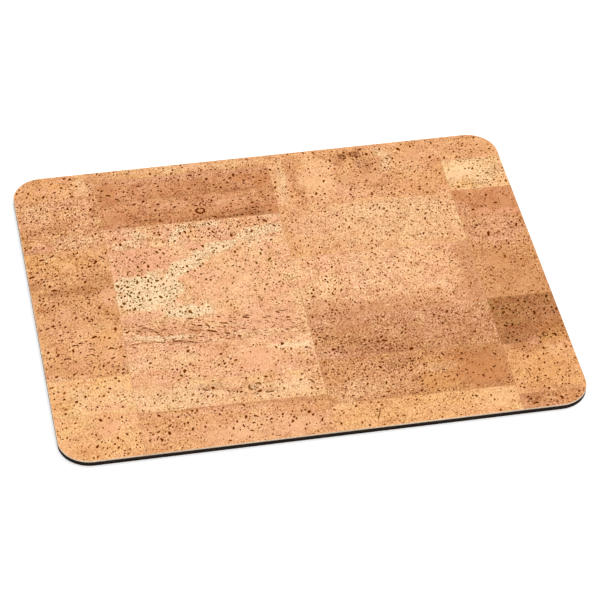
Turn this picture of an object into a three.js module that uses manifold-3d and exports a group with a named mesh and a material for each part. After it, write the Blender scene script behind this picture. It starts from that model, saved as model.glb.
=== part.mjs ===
// A cork-faced mouse pad.
// A sheet of sponge rubber carries a cork face: thin strips of cork bark, glued edge to edge in leaves on a
// woven backing cloth, which a glue film bonds to the sponge. The laminate is die-cut to a rounded outline.
// Millimetres, +Z up. The origin is the centre of the underside, X runs along the long side and Y to the back.

import * as THREE from "three";
import { mergeVertices } from "three/addons/utils/BufferGeometryUtils.js";
import Module from "manifold-3d";

const wasm = await Module();
wasm.setup();

// Die-cut outline
const padLength = 250;
const padDepth = 200;
const cornerRadius = 15;
const cornerSteps = 10;

// Layers, from the desk up
const spongeThickness = 2;
const glueThickness = 0.125;
const clothThickness = 0.25;
const corkThickness = 0.625;

// Lay of the cork on its cloth
const leafWidth = 88.8; // a whole leaf, left to right
const middleJoint = 4; // the leaf joint nearest the middle, this far right of the pad's centre
const layAngle = 0.9; // degrees, clockwise from above, by which the cork lies off square to the outline
const seamWidth = 0.1; // glue line between two strips
const narrowestStrip = 4; // no thinner sliver is laid along an edge: the piece before it runs on to the edge
const trimAllowance = 5; // how far the laid cork reaches past the outline before it is cut

// Tones of cork bark, from the palest to the darkest
const tones = {
  straw: 0xf7c894,
  honey: 0xf4bc86,
  peach: 0xf2bc8e,
  amber: 0xecb17d,
  tan: 0xe5aa78,
  rust: 0xdb9c6b,
  russet: 0xd8986a,
  umber: 0xcd9161,
};

// Depth of each cork strip along Y, from the back of its leaf to the front
const depthA1 = 20;
const depthA2 = 18.5;
const depthA3 = 20;
const depthA4 = 26;
const depthA5 = 30;
const depthA6 = 34;
const depthA7 = 24;
const depthA8 = 29;
const depthB1 = 9;
const depthB2 = 16.5;
const depthB3 = 20;
const depthB4 = 16.5;
const depthB5 = 52;
const depthB6 = 18.5;
const depthB7 = 24.5;
const depthB8 = 18;
const depthB9 = 26;
const depthC1 = 42.5;
const depthC2 = 37;
const depthC3 = 45;
const depthC4 = 28;
const depthC5 = 29.5;
const depthC6 = 18;
const depthD1 = 17;
const depthD2 = 24;
const depthD3 = 21.5;
const depthD4 = 59.5;
const depthD5 = 32.5;
const depthD6 = 34;
const depthD7 = 13;

// Strips of each leaf, leaf by leaf from the left, each from the back edge to the front
const leaves = [
  [
    { depth: depthA1, tone: "amber" },
    { depth: depthA2, tone: "tan" },
    { depth: depthA3, tone: "tan" },
    { depth: depthA4, tone: "tan" },
    { depth: depthA5, tone: "tan" },
    { depth: depthA6, tone: "amber" },
    { depth: depthA7, tone: "straw" },
    { depth: depthA8, tone: "honey" },
  ],
  [
    { depth: depthB1, tone: "tan" },
    { depth: depthB2, tone: "russet" },
    { depth: depthB3, tone: "russet" },
    { depth: depthB4, tone: "peach" },
    { depth: depthB5, tone: "peach" },
    { depth: depthB6, tone: "peach" },
    { depth: depthB7, tone: "peach" },
    { depth: depthB8, tone: "honey" },
    { depth: depthB9, tone: "amber" },
  ],
  [
    { depth: depthC1, tone: "amber" },
    { depth: depthC2, tone: "amber" },
    { depth: depthC3, tone: "peach" },
    { depth: depthC4, tone: "umber" },
    { depth: depthC5, tone: "rust" },
    { depth: depthC6, tone: "honey" },
  ],
  [
    { depth: depthD1, tone: "amber" },
    { depth: depthD2, tone: "straw" },
    { depth: depthD3, tone: "russet" },
    { depth: depthD4, tone: "rust" },
    { depth: depthD5, tone: "umber" },
    { depth: depthD6, tone: "amber" },
    { depth: depthD7, tone: "russet" },
  ],
];

// Heights of the layers' faces
const spongeTop = spongeThickness;
const glueTop = spongeTop + glueThickness;
const clothTop = glueTop + clothThickness;
const corkTop = clothTop + corkThickness;

// The laid cork, before cutting, covers the outline however it is turned
const turn = THREE.MathUtils.degToRad(layAngle);
const across = Math.cos(turn);
const aslant = Math.abs(Math.sin(turn));
const laidHalfLength = (padLength * across + padDepth * aslant) / 2 + trimAllowance;
const laidHalfDepth = (padDepth * across + padLength * aslant) / 2 + trimAllowance;

const spongeRubber = new THREE.MeshStandardMaterial({ color: 0x201d1b, roughness: 0.95, metalness: 0 });
const hotMelt = new THREE.MeshStandardMaterial({ color: 0x2b2724, roughness: 0.5, metalness: 0 });
const wovenCloth = new THREE.MeshStandardMaterial({ color: 0xd9c3a2, roughness: 0.95, metalness: 0 });
const corkOf = Object.fromEntries(
  Object.entries(tones).map(([tone, color]) => [
    tone,
    new THREE.MeshStandardMaterial({ color, roughness: 0.7, metalness: 0 }),
  ]),
);

// The rounded rectangle that the die cuts.
function dieOutline() {
  const right = padLength / 2;
  const back = padDepth / 2;
  const r = cornerRadius;
  const outline = new THREE.Shape();
  outline.absarc(right - r, back - r, r, 0, Math.PI / 2);
  outline.absarc(r - right, back - r, r, Math.PI / 2, Math.PI);
  outline.absarc(r - right, r - back, r, Math.PI, Math.PI * 1.5);
  outline.absarc(right - r, r - back, r, Math.PI * 1.5, Math.PI * 2);
  return outline.closePath();
}

// The oblong between two corners.
function oblong(left, front, right, back) {
  return new THREE.Shape([
    new THREE.Vector2(left, front),
    new THREE.Vector2(right, front),
    new THREE.Vector2(right, back),
    new THREE.Vector2(left, back),
  ]);
}

// A flat sheet of the given outline. Its faces take their heights as given, so stacked sheets meet exactly.
function sheetBetween(outline, bottom, top) {
  const depth = top - bottom;
  const options = { depth, bevelEnabled: false, curveSegments: cornerSteps };
  const geometry = new THREE.ExtrudeGeometry(outline, options);
  const corners = geometry.attributes.position;
  for (let i = 0; i < corners.count; i++) {
    corners.setZ(i, corners.getZ(i) > depth / 2 ? top : bottom);
  }
  return geometry;
}

function toSolid(geometry) {
  geometry.deleteAttribute("normal");
  geometry.deleteAttribute("uv");
  const merged = mergeVertices(geometry);
  const vertProperties = merged.attributes.position.array;
  const triVerts = new Uint32Array(merged.index.array);
  return new wasm.Manifold(new wasm.Mesh({ numProp: 3, vertProperties, triVerts }));
}

function toGeometry(solid) {
  const { vertProperties, triVerts } = solid.getMesh();
  const geometry = new THREE.BufferGeometry();
  geometry.setAttribute("position", new THREE.BufferAttribute(vertProperties, 3));
  geometry.setIndex(new THREE.BufferAttribute(triVerts, 1));
  geometry.computeVertexNormals();
  return geometry;
}

function namedMesh(name, geometry, material) {
  const mesh = new THREE.Mesh(geometry, material);
  mesh.name = name;
  return mesh;
}

// Glue lines between the leaves, left to right, with the laid cork's two ends.
// They step out to both sides from the joint nearest the middle.
function leafJoints() {
  const reach = padLength / 2 - narrowestStrip;
  const joints = [];
  for (let x = middleJoint - leafWidth; x >= -reach; x -= leafWidth) joints.unshift(x);
  for (let x = middleJoint; x <= reach; x += leafWidth) joints.push(x);
  return [-laidHalfLength, ...joints, laidHalfLength];
}

// Glue lines between the strips of one leaf, back to front, with the laid cork's two ends.
// The strips repeat in turn until the front edge is reached.
function stripJoints(strips) {
  const joints = [];
  let next = padDepth / 2 - strips[0].depth;
  while (next + padDepth / 2 >= narrowestStrip) {
    joints.push(next);
    next -= strips[joints.length % strips.length].depth;
  }
  return [laidHalfDepth, ...joints, -laidHalfDepth];
}

// The leaves of cork strips, laid a little off square on the cloth and cut to the pad's outline.
function corkFace() {
  const face = new THREE.Group();
  face.rotation.z = -turn;
  const die = toSolid(sheetBetween(dieOutline(), spongeTop, corkTop + trimAllowance).rotateZ(turn));
  const glue = seamWidth / 2;
  const columns = leafJoints();
  for (let leaf = 0; leaf < columns.length - 1; leaf++) {
    const letter = String.fromCharCode("a".charCodeAt(0) + leaf);
    const strips = leaves[leaf % leaves.length];
    const rows = stripJoints(strips);
    const group = new THREE.Group();
    for (let row = 0; row < rows.length - 1; row++) {
      const [left, right] = [columns[leaf] + glue, columns[leaf + 1] - glue];
      const [back, front] = [rows[row] - glue, rows[row + 1] + glue];
      const strip = toSolid(sheetBetween(oblong(left, front, right, back), clothTop, corkTop));
      const { tone } = strips[row % strips.length];
      const name = `cork_strip_${letter}${row + 1}`;
      group.add(namedMesh(name, toGeometry(strip.intersect(die)), corkOf[tone]));
    }
    face.add(group);
  }
  return face;
}

const pad = new THREE.Group();
pad.name = "mouse_pad";
pad.add(namedMesh("sponge_base", sheetBetween(dieOutline(), 0, spongeTop), spongeRubber));
pad.add(namedMesh("glue_film", sheetBetween(dieOutline(), spongeTop, glueTop), hotMelt));
pad.add(namedMesh("backing_cloth", sheetBetween(dieOutline(), glueTop, clothTop), wovenCloth));
pad.add(corkFace());

export default pad;
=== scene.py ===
"""Dresses a cork-faced mouse pad: sponge base, glue film, backing cloth and thirty strips of cork bark."""

import logging
import math
import random
from collections.abc import Iterator
from dataclasses import dataclass, field
from enum import Enum, IntEnum

import bmesh
import bpy
from bpy.types import Material, Node, NodeSocket, NodeTree, Object
from mathutils import Matrix, Vector, noise
from mathutils.geometry import convex_hull_2d, delaunay_2d_cdt


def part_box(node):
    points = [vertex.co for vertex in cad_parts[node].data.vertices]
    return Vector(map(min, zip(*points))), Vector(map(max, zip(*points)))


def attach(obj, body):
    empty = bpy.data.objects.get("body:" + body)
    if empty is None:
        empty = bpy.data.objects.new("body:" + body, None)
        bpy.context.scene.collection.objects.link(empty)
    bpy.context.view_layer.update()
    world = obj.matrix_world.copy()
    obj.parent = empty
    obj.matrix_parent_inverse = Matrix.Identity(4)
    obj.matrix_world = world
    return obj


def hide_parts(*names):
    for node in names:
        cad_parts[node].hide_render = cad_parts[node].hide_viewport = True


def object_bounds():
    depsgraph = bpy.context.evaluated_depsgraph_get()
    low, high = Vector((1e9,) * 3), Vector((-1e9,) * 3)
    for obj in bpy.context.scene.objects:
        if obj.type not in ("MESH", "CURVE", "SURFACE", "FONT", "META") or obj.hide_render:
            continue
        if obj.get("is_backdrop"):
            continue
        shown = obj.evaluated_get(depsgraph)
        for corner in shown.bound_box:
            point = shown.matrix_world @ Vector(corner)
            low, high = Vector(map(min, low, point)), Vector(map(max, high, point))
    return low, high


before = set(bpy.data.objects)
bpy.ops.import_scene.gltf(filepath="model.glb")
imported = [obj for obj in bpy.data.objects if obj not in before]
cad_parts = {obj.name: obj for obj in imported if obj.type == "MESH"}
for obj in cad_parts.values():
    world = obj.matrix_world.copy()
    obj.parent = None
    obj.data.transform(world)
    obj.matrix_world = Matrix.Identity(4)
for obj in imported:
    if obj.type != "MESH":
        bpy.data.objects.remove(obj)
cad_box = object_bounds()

log = logging.getLogger("mouse_pad")

MM = 0.001  # metres in a millimetre: everything below is in millimetres until a mesh is finished
BODY = "root"

Outline = list[Vector]
Place = tuple[float, float, float]
Colour = tuple[float, float, float, float]
Inputs = dict[int | str, object]
Ring = list[bmesh.types.BMVert]


def linear(colour: str) -> Colour:
    """Turns an sRGB hex colour into linear light.

    Args:
        colour: six hex digits.

    Returns:
        Red, green, blue and an alpha of 1.
    """
    toe, slope, offset, power = 0.04045, 12.92, 0.055, 2.4  # of the sRGB curve
    channels = [int(colour[i : i + 2], 16) / 255 for i in (0, 2, 4)]
    light = [c / slope if c <= toe else ((c + offset) / (1 + offset)) ** power for c in channels]
    return (light[0], light[1], light[2], 1.0)


def add_node(tree: NodeTree, kind: str, inputs: Inputs, **settings: object) -> Node:
    """Adds a node to a tree, with its settings and its links.

    Args:
        tree: the tree to add to.
        kind: the node's type, without the ShaderNode that all types start with.
        inputs: what goes into each socket that is set, by its name or number. A name finds the socket in use,
            as a node may keep others of that name. An output socket is linked, a node is linked by its first
            output in use, and anything else becomes the socket's value.
        settings: the node's own options.

    Returns:
        The new node.
    """
    node = tree.nodes.new(f"ShaderNode{kind}")
    for name, value in settings.items():
        setattr(node, name, value)
    for name, value in inputs.items():
        if isinstance(name, int):
            socket = node.inputs[name]
        else:
            socket = next(found for found in node.inputs if found.enabled and found.name == name)
        if isinstance(value, Node):
            value = next(output for output in value.outputs if output.enabled)
        if isinstance(value, NodeSocket):
            tree.links.new(value, socket)
        else:
            socket.default_value = value
    return node


def new_material(name: str) -> tuple[Material, NodeTree]:
    """Makes an empty node material.

    Args:
        name: its name.

    Returns:
        The material and its node tree.
    """
    material = bpy.data.materials.new(name)
    material.use_nodes = True
    material.node_tree.nodes.clear()
    return material, material.node_tree


def face_millimetres(tree: NodeTree) -> Node:
    """Adds the nodes that give a point's place on the pad in millimetres.

    Args:
        tree: the material's tree.

    Returns:
        The last of them.
    """
    place = add_node(tree, "TexCoord", {}).outputs["Object"]
    scale = (1 / MM, 1 / MM, 1 / MM)
    return add_node(tree, "VectorMath", {0: place, 1: scale}, operation="MULTIPLY")


def area_of(outline: Outline) -> float:
    """Returns the area inside an outline, which is above 0 where the corners run anticlockwise."""
    return sum(outline[i - 1].cross(corner) for i, corner in enumerate(outline)) / 2


def hull_of(node: str) -> Outline:
    """Finds the outline of a CAD node, seen from above.

    Args:
        node: the node's name.

    Returns:
        The corners of the outline in millimetres, anticlockwise.
    """
    decimals = 4
    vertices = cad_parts[node].data.vertices
    corners = {(round(v.co.x / MM, decimals), round(v.co.y / MM, decimals)) for v in vertices}
    points = [Vector(corner) for corner in sorted(corners)]
    hull = [points[i] for i in convex_hull_2d(points)]
    return hull if area_of(hull) > 0 else hull[::-1]


def heights_of(node: str) -> tuple[float, float]:
    """Returns the heights of a CAD node's lower and upper face in millimetres."""
    low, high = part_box(node)
    return low.z / MM, high.z / MM


def side_normals(outline: Outline) -> list[Vector]:
    """Returns the inward normal of each side of an anticlockwise outline; side i starts at corner i."""
    sides = [outline[(i + 1) % len(outline)] - corner for i, corner in enumerate(outline)]
    return [Vector((-side.y, side.x)).normalized() for side in sides]


def inset(outline: Outline, distances: list[float]) -> Outline:
    """Moves each side of a convex outline inwards by its own distance.

    Args:
        outline: corners, anticlockwise.
        distances: how far each side moves, in millimetres; side i starts at corner i.

    Returns:
        The corners of the smaller outline.
    """
    straight = 1e-6
    normals = side_normals(outline)
    moved = []
    for i, corner in enumerate(outline):
        a, b = normals[i - 1], normals[i]
        from_a, from_b = distances[i - 1], distances[i]
        turn = a.cross(b)
        if abs(turn) < straight:
            moved.append(corner + b * from_b)
        else:
            moved.append(corner + Vector((from_a * b.y - from_b * a.y, from_b * a.x - from_a * b.x)) / turn)
    return moved


def shrunk(outline: Outline, distance: float) -> Outline:
    """Returns a convex outline with all its sides moved inwards by one distance."""
    return inset(outline, [distance] * len(outline))


def parts_of(outline: Outline, step: float) -> list[int]:
    """Returns how many parts of about one step's length each side of an outline has, at least one."""
    ends = zip(outline, outline[1:] + outline[:1])
    return [max(1, round((end - start).length / step)) for start, end in ends]


def divided(outline: Outline, counts: list[int]) -> Outline:
    """Adds points along the sides of an outline.

    Args:
        outline: corners.
        counts: how many equal parts each side is divided into.

    Returns:
        All points in order.
    """
    points = []
    for i, (corner, count) in enumerate(zip(outline, counts)):
        end = outline[(i + 1) % len(outline)]
        points.extend(corner.lerp(end, k / count) for k in range(count))
    return points


def drawn_in(point: Vector, distance: float) -> Vector:
    """Returns a point moved towards the pad's middle."""
    return point * (1 - distance / point.length)


def clipped(polygon: Outline, outline: Outline) -> Outline:
    """Cuts a polygon to what lies inside a convex outline.

    Args:
        polygon: corners of the polygon.
        outline: corners of the convex outline, anticlockwise.

    Returns:
        Corners of the part inside, or an empty list.
    """
    for start, normal in zip(outline, side_normals(outline)):
        kept = []
        for i, here in enumerate(polygon):
            before = polygon[i - 1]
            d_here = (here - start).dot(normal)
            d_before = (before - start).dot(normal)
            if (d_here > 0) != (d_before > 0):
                kept.append(before.lerp(here, d_before / (d_before - d_here)))
            if d_here > 0:
                kept.append(here)
        polygon = kept
    return polygon


class Side(Enum):
    """The two faces of a sheet."""

    TOP = "top"
    UNDERSIDE = "underside"


@dataclass(frozen=True)
class Mark:
    """A small dent or bump in the face of a sheet: a rim on the face, and a floor off it."""

    rim: Outline
    floor: Outline
    rise: float  # of the floor over the rim; a dent's is below 0
    slot: int  # material slot of its walls and floor


@dataclass
class SheetMesh:
    """A closed mesh of a die-cut sheet: a wall of rings, closed by two faces that may hold marks."""

    name: str
    shown: Side = Side.TOP  # the face whose pattern shows
    bm: bmesh.types.BMesh = field(default_factory=bmesh.new)

    # The sheet's flat map: most of it for the face that shows, thin bands for the wall and the other face
    shown_band: tuple[float, float] = (0.08, 1.0)
    wall_band: tuple[float, float] = (0.04, 0.07)
    hidden_band: tuple[float, float] = (0.0, 0.03)

    def __post_init__(self) -> None:
        """Adds the flat map."""
        self.flat_map = self.bm.loops.layers.uv.new("OFBake")

    def wall(self, rings: list[tuple[Outline, float]], slots: list[int]) -> list[Ring]:
        """Builds the wall.

        Args:
            rings: an outline and its height for each ring, from the bottom up, all with as many points.
            slots: material slots, taken in turn for the sides; side i starts at point i.

        Returns:
            The vertices of each ring.
        """
        made = [[self.bm.verts.new((p.x, p.y, height)) for p in outline] for outline, height in rings]
        count, levels = len(made[0]), len(made) - 1
        low, high = self.wall_band
        for level in range(levels):
            v0, v1 = (low + (high - low) * k / levels for k in (level, level + 1))
            for i in range(count):
                j = (i + 1) % count
                u0, u1 = i / count, (i + 1) / count
                quad = (made[level][i], made[level][j], made[level + 1][j], made[level + 1][i])
                face = self.bm.faces.new(quad)
                face.material_index = slots[i % len(slots)]
                face.smooth = True
                for loop, place in zip(face.loops, ((u0, v0), (u1, v0), (u1, v1), (u0, v1))):
                    loop[self.flat_map].uv = place
        return made

    def face(self, ring: Ring, side: Side, marks: list[Mark] | None = None, slot: int = 0) -> None:
        """Closes one end of the wall with a flat face that may hold marks.

        Args:
            ring: the wall's end ring.
            side: which face of the sheet this is.
            marks: dents and bumps, clear of each other and of the ring.
            slot: material slot of the flat face.
        """
        near = 1e-6
        marks = marks or []
        level = ring[0].co.z
        points = [v.co.xy for v in ring]
        heights = [level] * len(ring)
        loops = [list(range(len(ring)))]
        for mark in marks:
            for edge, rise in ((mark.rim, 0.0), (mark.floor, mark.rise)):
                loops.append(list(range(len(points), len(points) + len(edge))))
                points.extend(edge)
                heights.extend([level + rise] * len(edge))
        flat, _, triangles, sources, _, owners = delaunay_2d_cdt(points, [], loops, 1, near)
        verts = []
        for point, source in zip(flat, sources):
            if source and source[0] < len(ring):
                verts.append(ring[source[0]])
            else:
                verts.append(self.bm.verts.new((point.x, point.y, heights[source[0]] if source else level)))
        low = Vector((min(p.x for p in flat), min(p.y for p in flat)))
        size = Vector((max(p.x for p in flat), max(p.y for p in flat))) - low
        v0, v1 = self.shown_band if side is self.shown else self.hidden_band
        for corners, owner in zip(triangles, owners):
            order = corners if side is Side.TOP else corners[::-1]
            face = self.bm.faces.new([verts[i] for i in order])
            innermost = max(owner)
            face.material_index = marks[(innermost - 1) // 2].slot if innermost else slot
            for loop in face.loops:
                along = loop.vert.co.xy - low
                loop[self.flat_map].uv = (along.x / size.x, v0 + (v1 - v0) * along.y / size.y)

    def finish(self, node: str, slot: str, materials: list[Material]) -> Object:
        """Turns the mesh into a piece in metres that rides on the pad in place of a CAD node.

        Args:
            node: the CAD node.
            slot: the record's material slot; not used.
            materials: one for each of the mesh's own material slots.

        Returns:
            The piece.
        """
        mesh = bpy.data.meshes.new(self.name)
        self.bm.transform(Matrix.Scale(MM, 4))
        self.bm.to_mesh(mesh)
        self.bm.free()
        for material in materials:
            mesh.materials.append(material)
        piece = bpy.data.objects.new(self.name, mesh)
        bpy.context.scene.collection.objects.link(piece)
        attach(piece, BODY)
        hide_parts(node)
        return piece


@dataclass(frozen=True)
class SpongeRubber:
    """Natural sponge rubber, foamed and embossed: nearly black and matt, with a fine open-celled skin."""

    name: str = "Sponge rubber, foamed and embossed"
    skin: str = "231812"
    worn: str = "30241c"
    cell: float = 0.9  # mm; real cells are about 0.3 mm, too fine to show
    drift: float = 9.0  # mm, of the patches where the skin is rubbed paler
    most_worn: float = 0.8
    roughness: float = 0.88
    specular: float = 0.12
    pit: float = 0.06  # mm
    pit_strength: float = 0.6

    def material(self) -> Material:
        """Makes the material: cells as a bump, and skin rubbed a little paler in drifts.

        Returns:
            The material.
        """
        material, tree = new_material(self.name)
        place = face_millimetres(tree)
        cells = add_node(tree, "TexVoronoi", {"Vector": place, "Scale": 1 / self.cell})
        drift = add_node(tree, "TexNoise", {"Vector": place, "Scale": 1 / self.drift, "Detail": 4.0})
        rubbed = {"Value": drift, "From Min": 0.4, "From Max": 0.75, "To Max": self.most_worn}
        worn = add_node(tree, "MapRange", rubbed)
        tones = {"Factor": worn, "A": linear(self.skin), "B": linear(self.worn)}
        colour = add_node(tree, "Mix", tones, data_type="RGBA")
        relief = {"Height": cells, "Distance": self.pit * MM, "Strength": self.pit_strength}
        bump = add_node(tree, "Bump", relief)
        matt = {"Roughness": self.roughness, "Specular IOR Level": self.specular}
        shader = add_node(tree, "BsdfPrincipled", {"Base Color": colour, "Normal": bump, **matt})
        add_node(tree, "OutputMaterial", {"Surface": shader})
        return material


@dataclass(frozen=True)
class HotMeltFilm:
    """Hot-melt film, rolled on: a thin dark line, smoother than the sponge, with a trace of flow."""

    name: str = "Hot-melt film, rolled on"
    colour: str = "2b2724"
    flow: str = "3a342f"
    wave: float = 1.5  # mm
    roughness: float = 0.5

    def material(self) -> Material:
        """Makes the material, with streaks of flow.

        Returns:
            The material.
        """
        material, tree = new_material(self.name)
        place = face_millimetres(tree)
        flow = add_node(tree, "TexNoise", {"Vector": place, "Scale": 1 / self.wave, "Detail": 3.0})
        tones = {"Factor": flow, "A": linear(self.colour), "B": linear(self.flow)}
        colour = add_node(tree, "Mix", tones, data_type="RGBA")
        shader = add_node(tree, "BsdfPrincipled", {"Base Color": colour, "Roughness": self.roughness})
        add_node(tree, "OutputMaterial", {"Surface": shader})
        return material


@dataclass(frozen=True)
class WovenCotton:
    """Cotton cloth, plain woven and unbleached: pale crossing threads."""

    name: str = "Cotton cloth, plain woven"
    thread: str = "efe3d1"
    gap: str = "bfa789"
    pitch: float = 0.5  # mm from thread to thread
    roughness: float = 0.95
    relief: float = 0.08  # mm

    def material(self) -> Material:
        """Makes the material: two sets of threads that cross.

        Returns:
            The material.
        """
        material, tree = new_material(self.name)
        place = face_millimetres(tree)
        radians = 20  # that the wave texture runs through in a millimetre at a scale of 1
        waves = {"Vector": place, "Scale": math.tau / self.pitch / radians}
        warp = add_node(tree, "TexWave", waves, bands_direction="X")
        weft = add_node(tree, "TexWave", waves, bands_direction="Y")
        crossing = {0: warp.outputs["Fac"], 1: weft.outputs["Fac"]}
        weave = add_node(tree, "Math", crossing, operation="MAXIMUM")
        tones = {"Factor": weave, "A": linear(self.gap), "B": linear(self.thread)}
        colour = add_node(tree, "Mix", tones, data_type="RGBA")
        bump = add_node(tree, "Bump", {"Height": weave, "Distance": self.relief * MM})
        cloth = {"Base Color": colour, "Roughness": self.roughness, "Normal": bump}
        shader = add_node(tree, "BsdfPrincipled", cloth)
        add_node(tree, "OutputMaterial", {"Surface": shader})
        return material


@dataclass(frozen=True)
class CutCork:
    """Cork bark, die-cut: the edge of the veneer, paler and plainer than its sanded face."""

    name: str = "Cork bark, die-cut edge"
    pale: str = "f6e4cf"
    dark: str = "dcbd98"
    grain: float = 0.6  # mm
    roughness: float = 0.85

    def material(self) -> Material:
        """Makes the material: short flecks of two tones.

        Returns:
            The material.
        """
        material, tree = new_material(self.name)
        place = face_millimetres(tree)
        grain = add_node(tree, "TexNoise", {"Vector": place, "Scale": 1 / self.grain, "Detail": 2.0})
        fleck = add_node(tree, "MapRange", {"Value": grain, "From Min": 0.3, "From Max": 0.7})
        tones = {"Factor": fleck, "A": linear(self.dark), "B": linear(self.pale)}
        colour = add_node(tree, "Mix", tones, data_type="RGBA")
        shader = add_node(tree, "BsdfPrincipled", {"Base Color": colour, "Roughness": self.roughness})
        add_node(tree, "OutputMaterial", {"Surface": shader})
        return material


@dataclass(frozen=True)
class PoreDustAndShade:
    """Lenticels of cork, cut open: pits lined with dark crumbly bark, each of its own brown, with painted
    shade that darkens the deeper pits.
    """

    name: str
    deep: str
    light: str
    change: float = 2.5  # mm over which the tone changes, so that each pit has its own
    deepest: float = 0.3  # mm under the face, where a pit's painted shade is darkest
    shallow: float = 0.03  # mm, where its painted shade is lightest
    roughness: float = 0.95

    def material(self, top: float) -> Material:
        """Makes the material: brown that changes from pit to pit, with painted shade that darkens it with
        depth.

        Args:
            top: height of the face that the pits are in.

        Returns:
            The material.
        """
        material, tree = new_material(self.name)
        place = face_millimetres(tree)
        drift = add_node(tree, "TexNoise", {"Vector": place, "Scale": 1 / self.change, "Detail": 2.0})
        paler = add_node(tree, "MapRange", {"Value": drift, "From Min": 0.35, "From Max": 0.7})
        # Painted shade: the brown darkens the deeper a point lies in its pit
        height = add_node(tree, "SeparateXYZ", {"Vector": place}).outputs["Z"]
        painted_shade_depths = {"Value": height, "From Min": top - self.deepest, "From Max": top - self.shallow}
        lit = add_node(tree, "MapRange", painted_shade_depths)
        tone = add_node(tree, "Math", {0: paler, 1: lit}, operation="MULTIPLY")
        tones = {"Factor": tone, "A": linear(self.deep), "B": linear(self.light)}
        colour = add_node(tree, "Mix", tones, data_type="RGBA")
        crumbly = {"Base Color": colour, "Roughness": self.roughness, "Specular IOR Level": 0.0}
        shader = add_node(tree, "BsdfPrincipled", crumbly)
        add_node(tree, "OutputMaterial", {"Surface": shader})
        return material


class Dust(Enum):
    """The browns of the dust in the pores."""

    BROWN = PoreDustAndShade("Lenticel dust, brown", "732f00", "ae6610")
    OLIVE = PoreDustAndShade("Lenticel dust, olive", "754406", "b07a2e")
    RUST = PoreDustAndShade("Lenticel dust, rust", "6d2b00", "a65a10")
    UMBER = PoreDustAndShade("Lenticel dust, umber", "622e04", "9c5a1c")
    BROWN_SPECK = PoreDustAndShade("Cork grain pit, brown", "984c02", "ca832c")
    OLIVE_SPECK = PoreDustAndShade("Cork grain pit, olive", "965c0c", "ce9440")
    RUST_SPECK = PoreDustAndShade("Cork grain pit, rust", "944000", "c06d1e")
    GROWTH = PoreDustAndShade("Growth line, weathered", "94602f", "ba7f48")


@dataclass(frozen=True)
class BarkTone:
    """The two tones that one bark is mottled between, and the dust in its pores and grain pits."""

    slot: str  # the record's material slot
    warm: str
    pale: str
    dust: Dust
    speck: Dust


class Bark(Enum):
    """The barks that the strips are cut from, from the palest to the darkest."""

    STRAW = BarkTone("cork_straw", "f2b67f", "ffce98", Dust.OLIVE, Dust.OLIVE_SPECK)
    WHEAT = BarkTone("cork_straw", "f7b97e", "ffcd93", Dust.BROWN, Dust.BROWN_SPECK)
    HONEY = BarkTone("cork_honey", "f1b179", "ffc890", Dust.BROWN, Dust.BROWN_SPECK)
    BUFF = BarkTone("cork_honey", "f0b380", "ffcb97", Dust.BROWN, Dust.BROWN_SPECK)
    PEACH = BarkTone("cork_peach", "f0b183", "ffca9b", Dust.BROWN, Dust.BROWN_SPECK)
    BISCUIT = BarkTone("cork_peach", "f0b183", "ffca9b", Dust.OLIVE, Dust.OLIVE_SPECK)
    AMBER = BarkTone("cork_amber", "e7a671", "f7bc89", Dust.BROWN, Dust.BROWN_SPECK)
    TAN = BarkTone("cork_tan", "e4a56e", "f6bc88", Dust.BROWN, Dust.BROWN_SPECK)
    RUST = BarkTone("cork_rust", "d3945e", "e6aa76", Dust.RUST, Dust.RUST_SPECK)
    RUSSET = BarkTone("cork_russet", "d18d5d", "e5a677", Dust.RUST, Dust.RUST_SPECK)
    UMBER = BarkTone("cork_umber", "d29461", "e6ad7b", Dust.RUST, Dust.RUST_SPECK)
    CEDAR = BarkTone("cork_umber", "ae7446", "c48b58", Dust.UMBER, Dust.RUST_SPECK)


class Stain(Enum):
    """Tones that patches of a strip have, as sRGB hex."""

    CREAM = "fcd8aa"
    STRAW = "f9ca98"
    BLUSH = "efb28a"
    PINK = "f2ad86"
    OCHRE = "eaa864"
    EMBER = "cd854f"
    CLAY = "d08e60"
    CHESTNUT = "b57346"
    WALNUT = "96602f"
    COCOA = "6e3410"
    SMOKE = "c09470"


class Slot(IntEnum):
    """Material slots of a cork strip."""

    FACE = 0
    EDGE = 1
    PORE = 2
    SPECK = 3
    GROWTH = 4  # weathered growth lines
    SEAM = 5


@dataclass
class PadFace:
    """The pad's outline, and its measuring frame in millimetres: x from the left edge, y from the back."""

    base: str = "sponge_base"
    near: float = 0.02  # a point this close to the die-cut outline counts as on it
    outline: Outline = field(init=False)
    left: float = field(init=False)
    back: float = field(init=False)

    def __post_init__(self) -> None:
        """Reads the outline from the frame."""
        low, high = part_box(self.base)
        self.outline = hull_of(self.base)
        self.left = low.x / MM
        self.back = high.y / MM

    def at(self, x: float, y: float) -> Vector:
        """Returns the point x from the left edge and y from the back edge."""
        return Vector((self.left + x, self.back - y))

    def on_edge(self, point: Vector) -> bool:
        """Tells whether a point lies on the die-cut outline."""
        pairs = zip(self.outline, side_normals(self.outline))
        return min((point - start).dot(normal) for start, normal in pairs) < self.near


@dataclass(frozen=True)
class Patch:
    """A stained patch of bark. Its place is in millimetres from the pad's left and back edges."""

    x: float
    y: float
    half_x: float
    half_y: float
    stain: Stain
    strength: float = 0.7
    turn: float = 0.0  # degrees, anticlockwise from above
    soft: float = 0.35  # share of the patch over which it fades
    grain: float = 1.0  # share of the grain and pores that is left in it

    def covers(self, point: Vector, pad: PadFace) -> bool:
        """Tells whether a point of the pad lies in the patch.

        Args:
            point: the point.
            pad: the measuring frame.

        Returns:
            Whether it does.
        """
        away = point - pad.at(self.x, self.y)
        away.rotate(Matrix.Rotation(math.radians(-self.turn), 2))
        return (away.x / self.half_x) ** 2 + (away.y / self.half_y) ** 2 < 1


@dataclass(frozen=True)
class Cluster:
    """A crowd of pores, with its place as in a patch."""

    x: float
    y: float
    half_x: float
    half_y: float
    count: int
    width: float = 0.8


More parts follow.
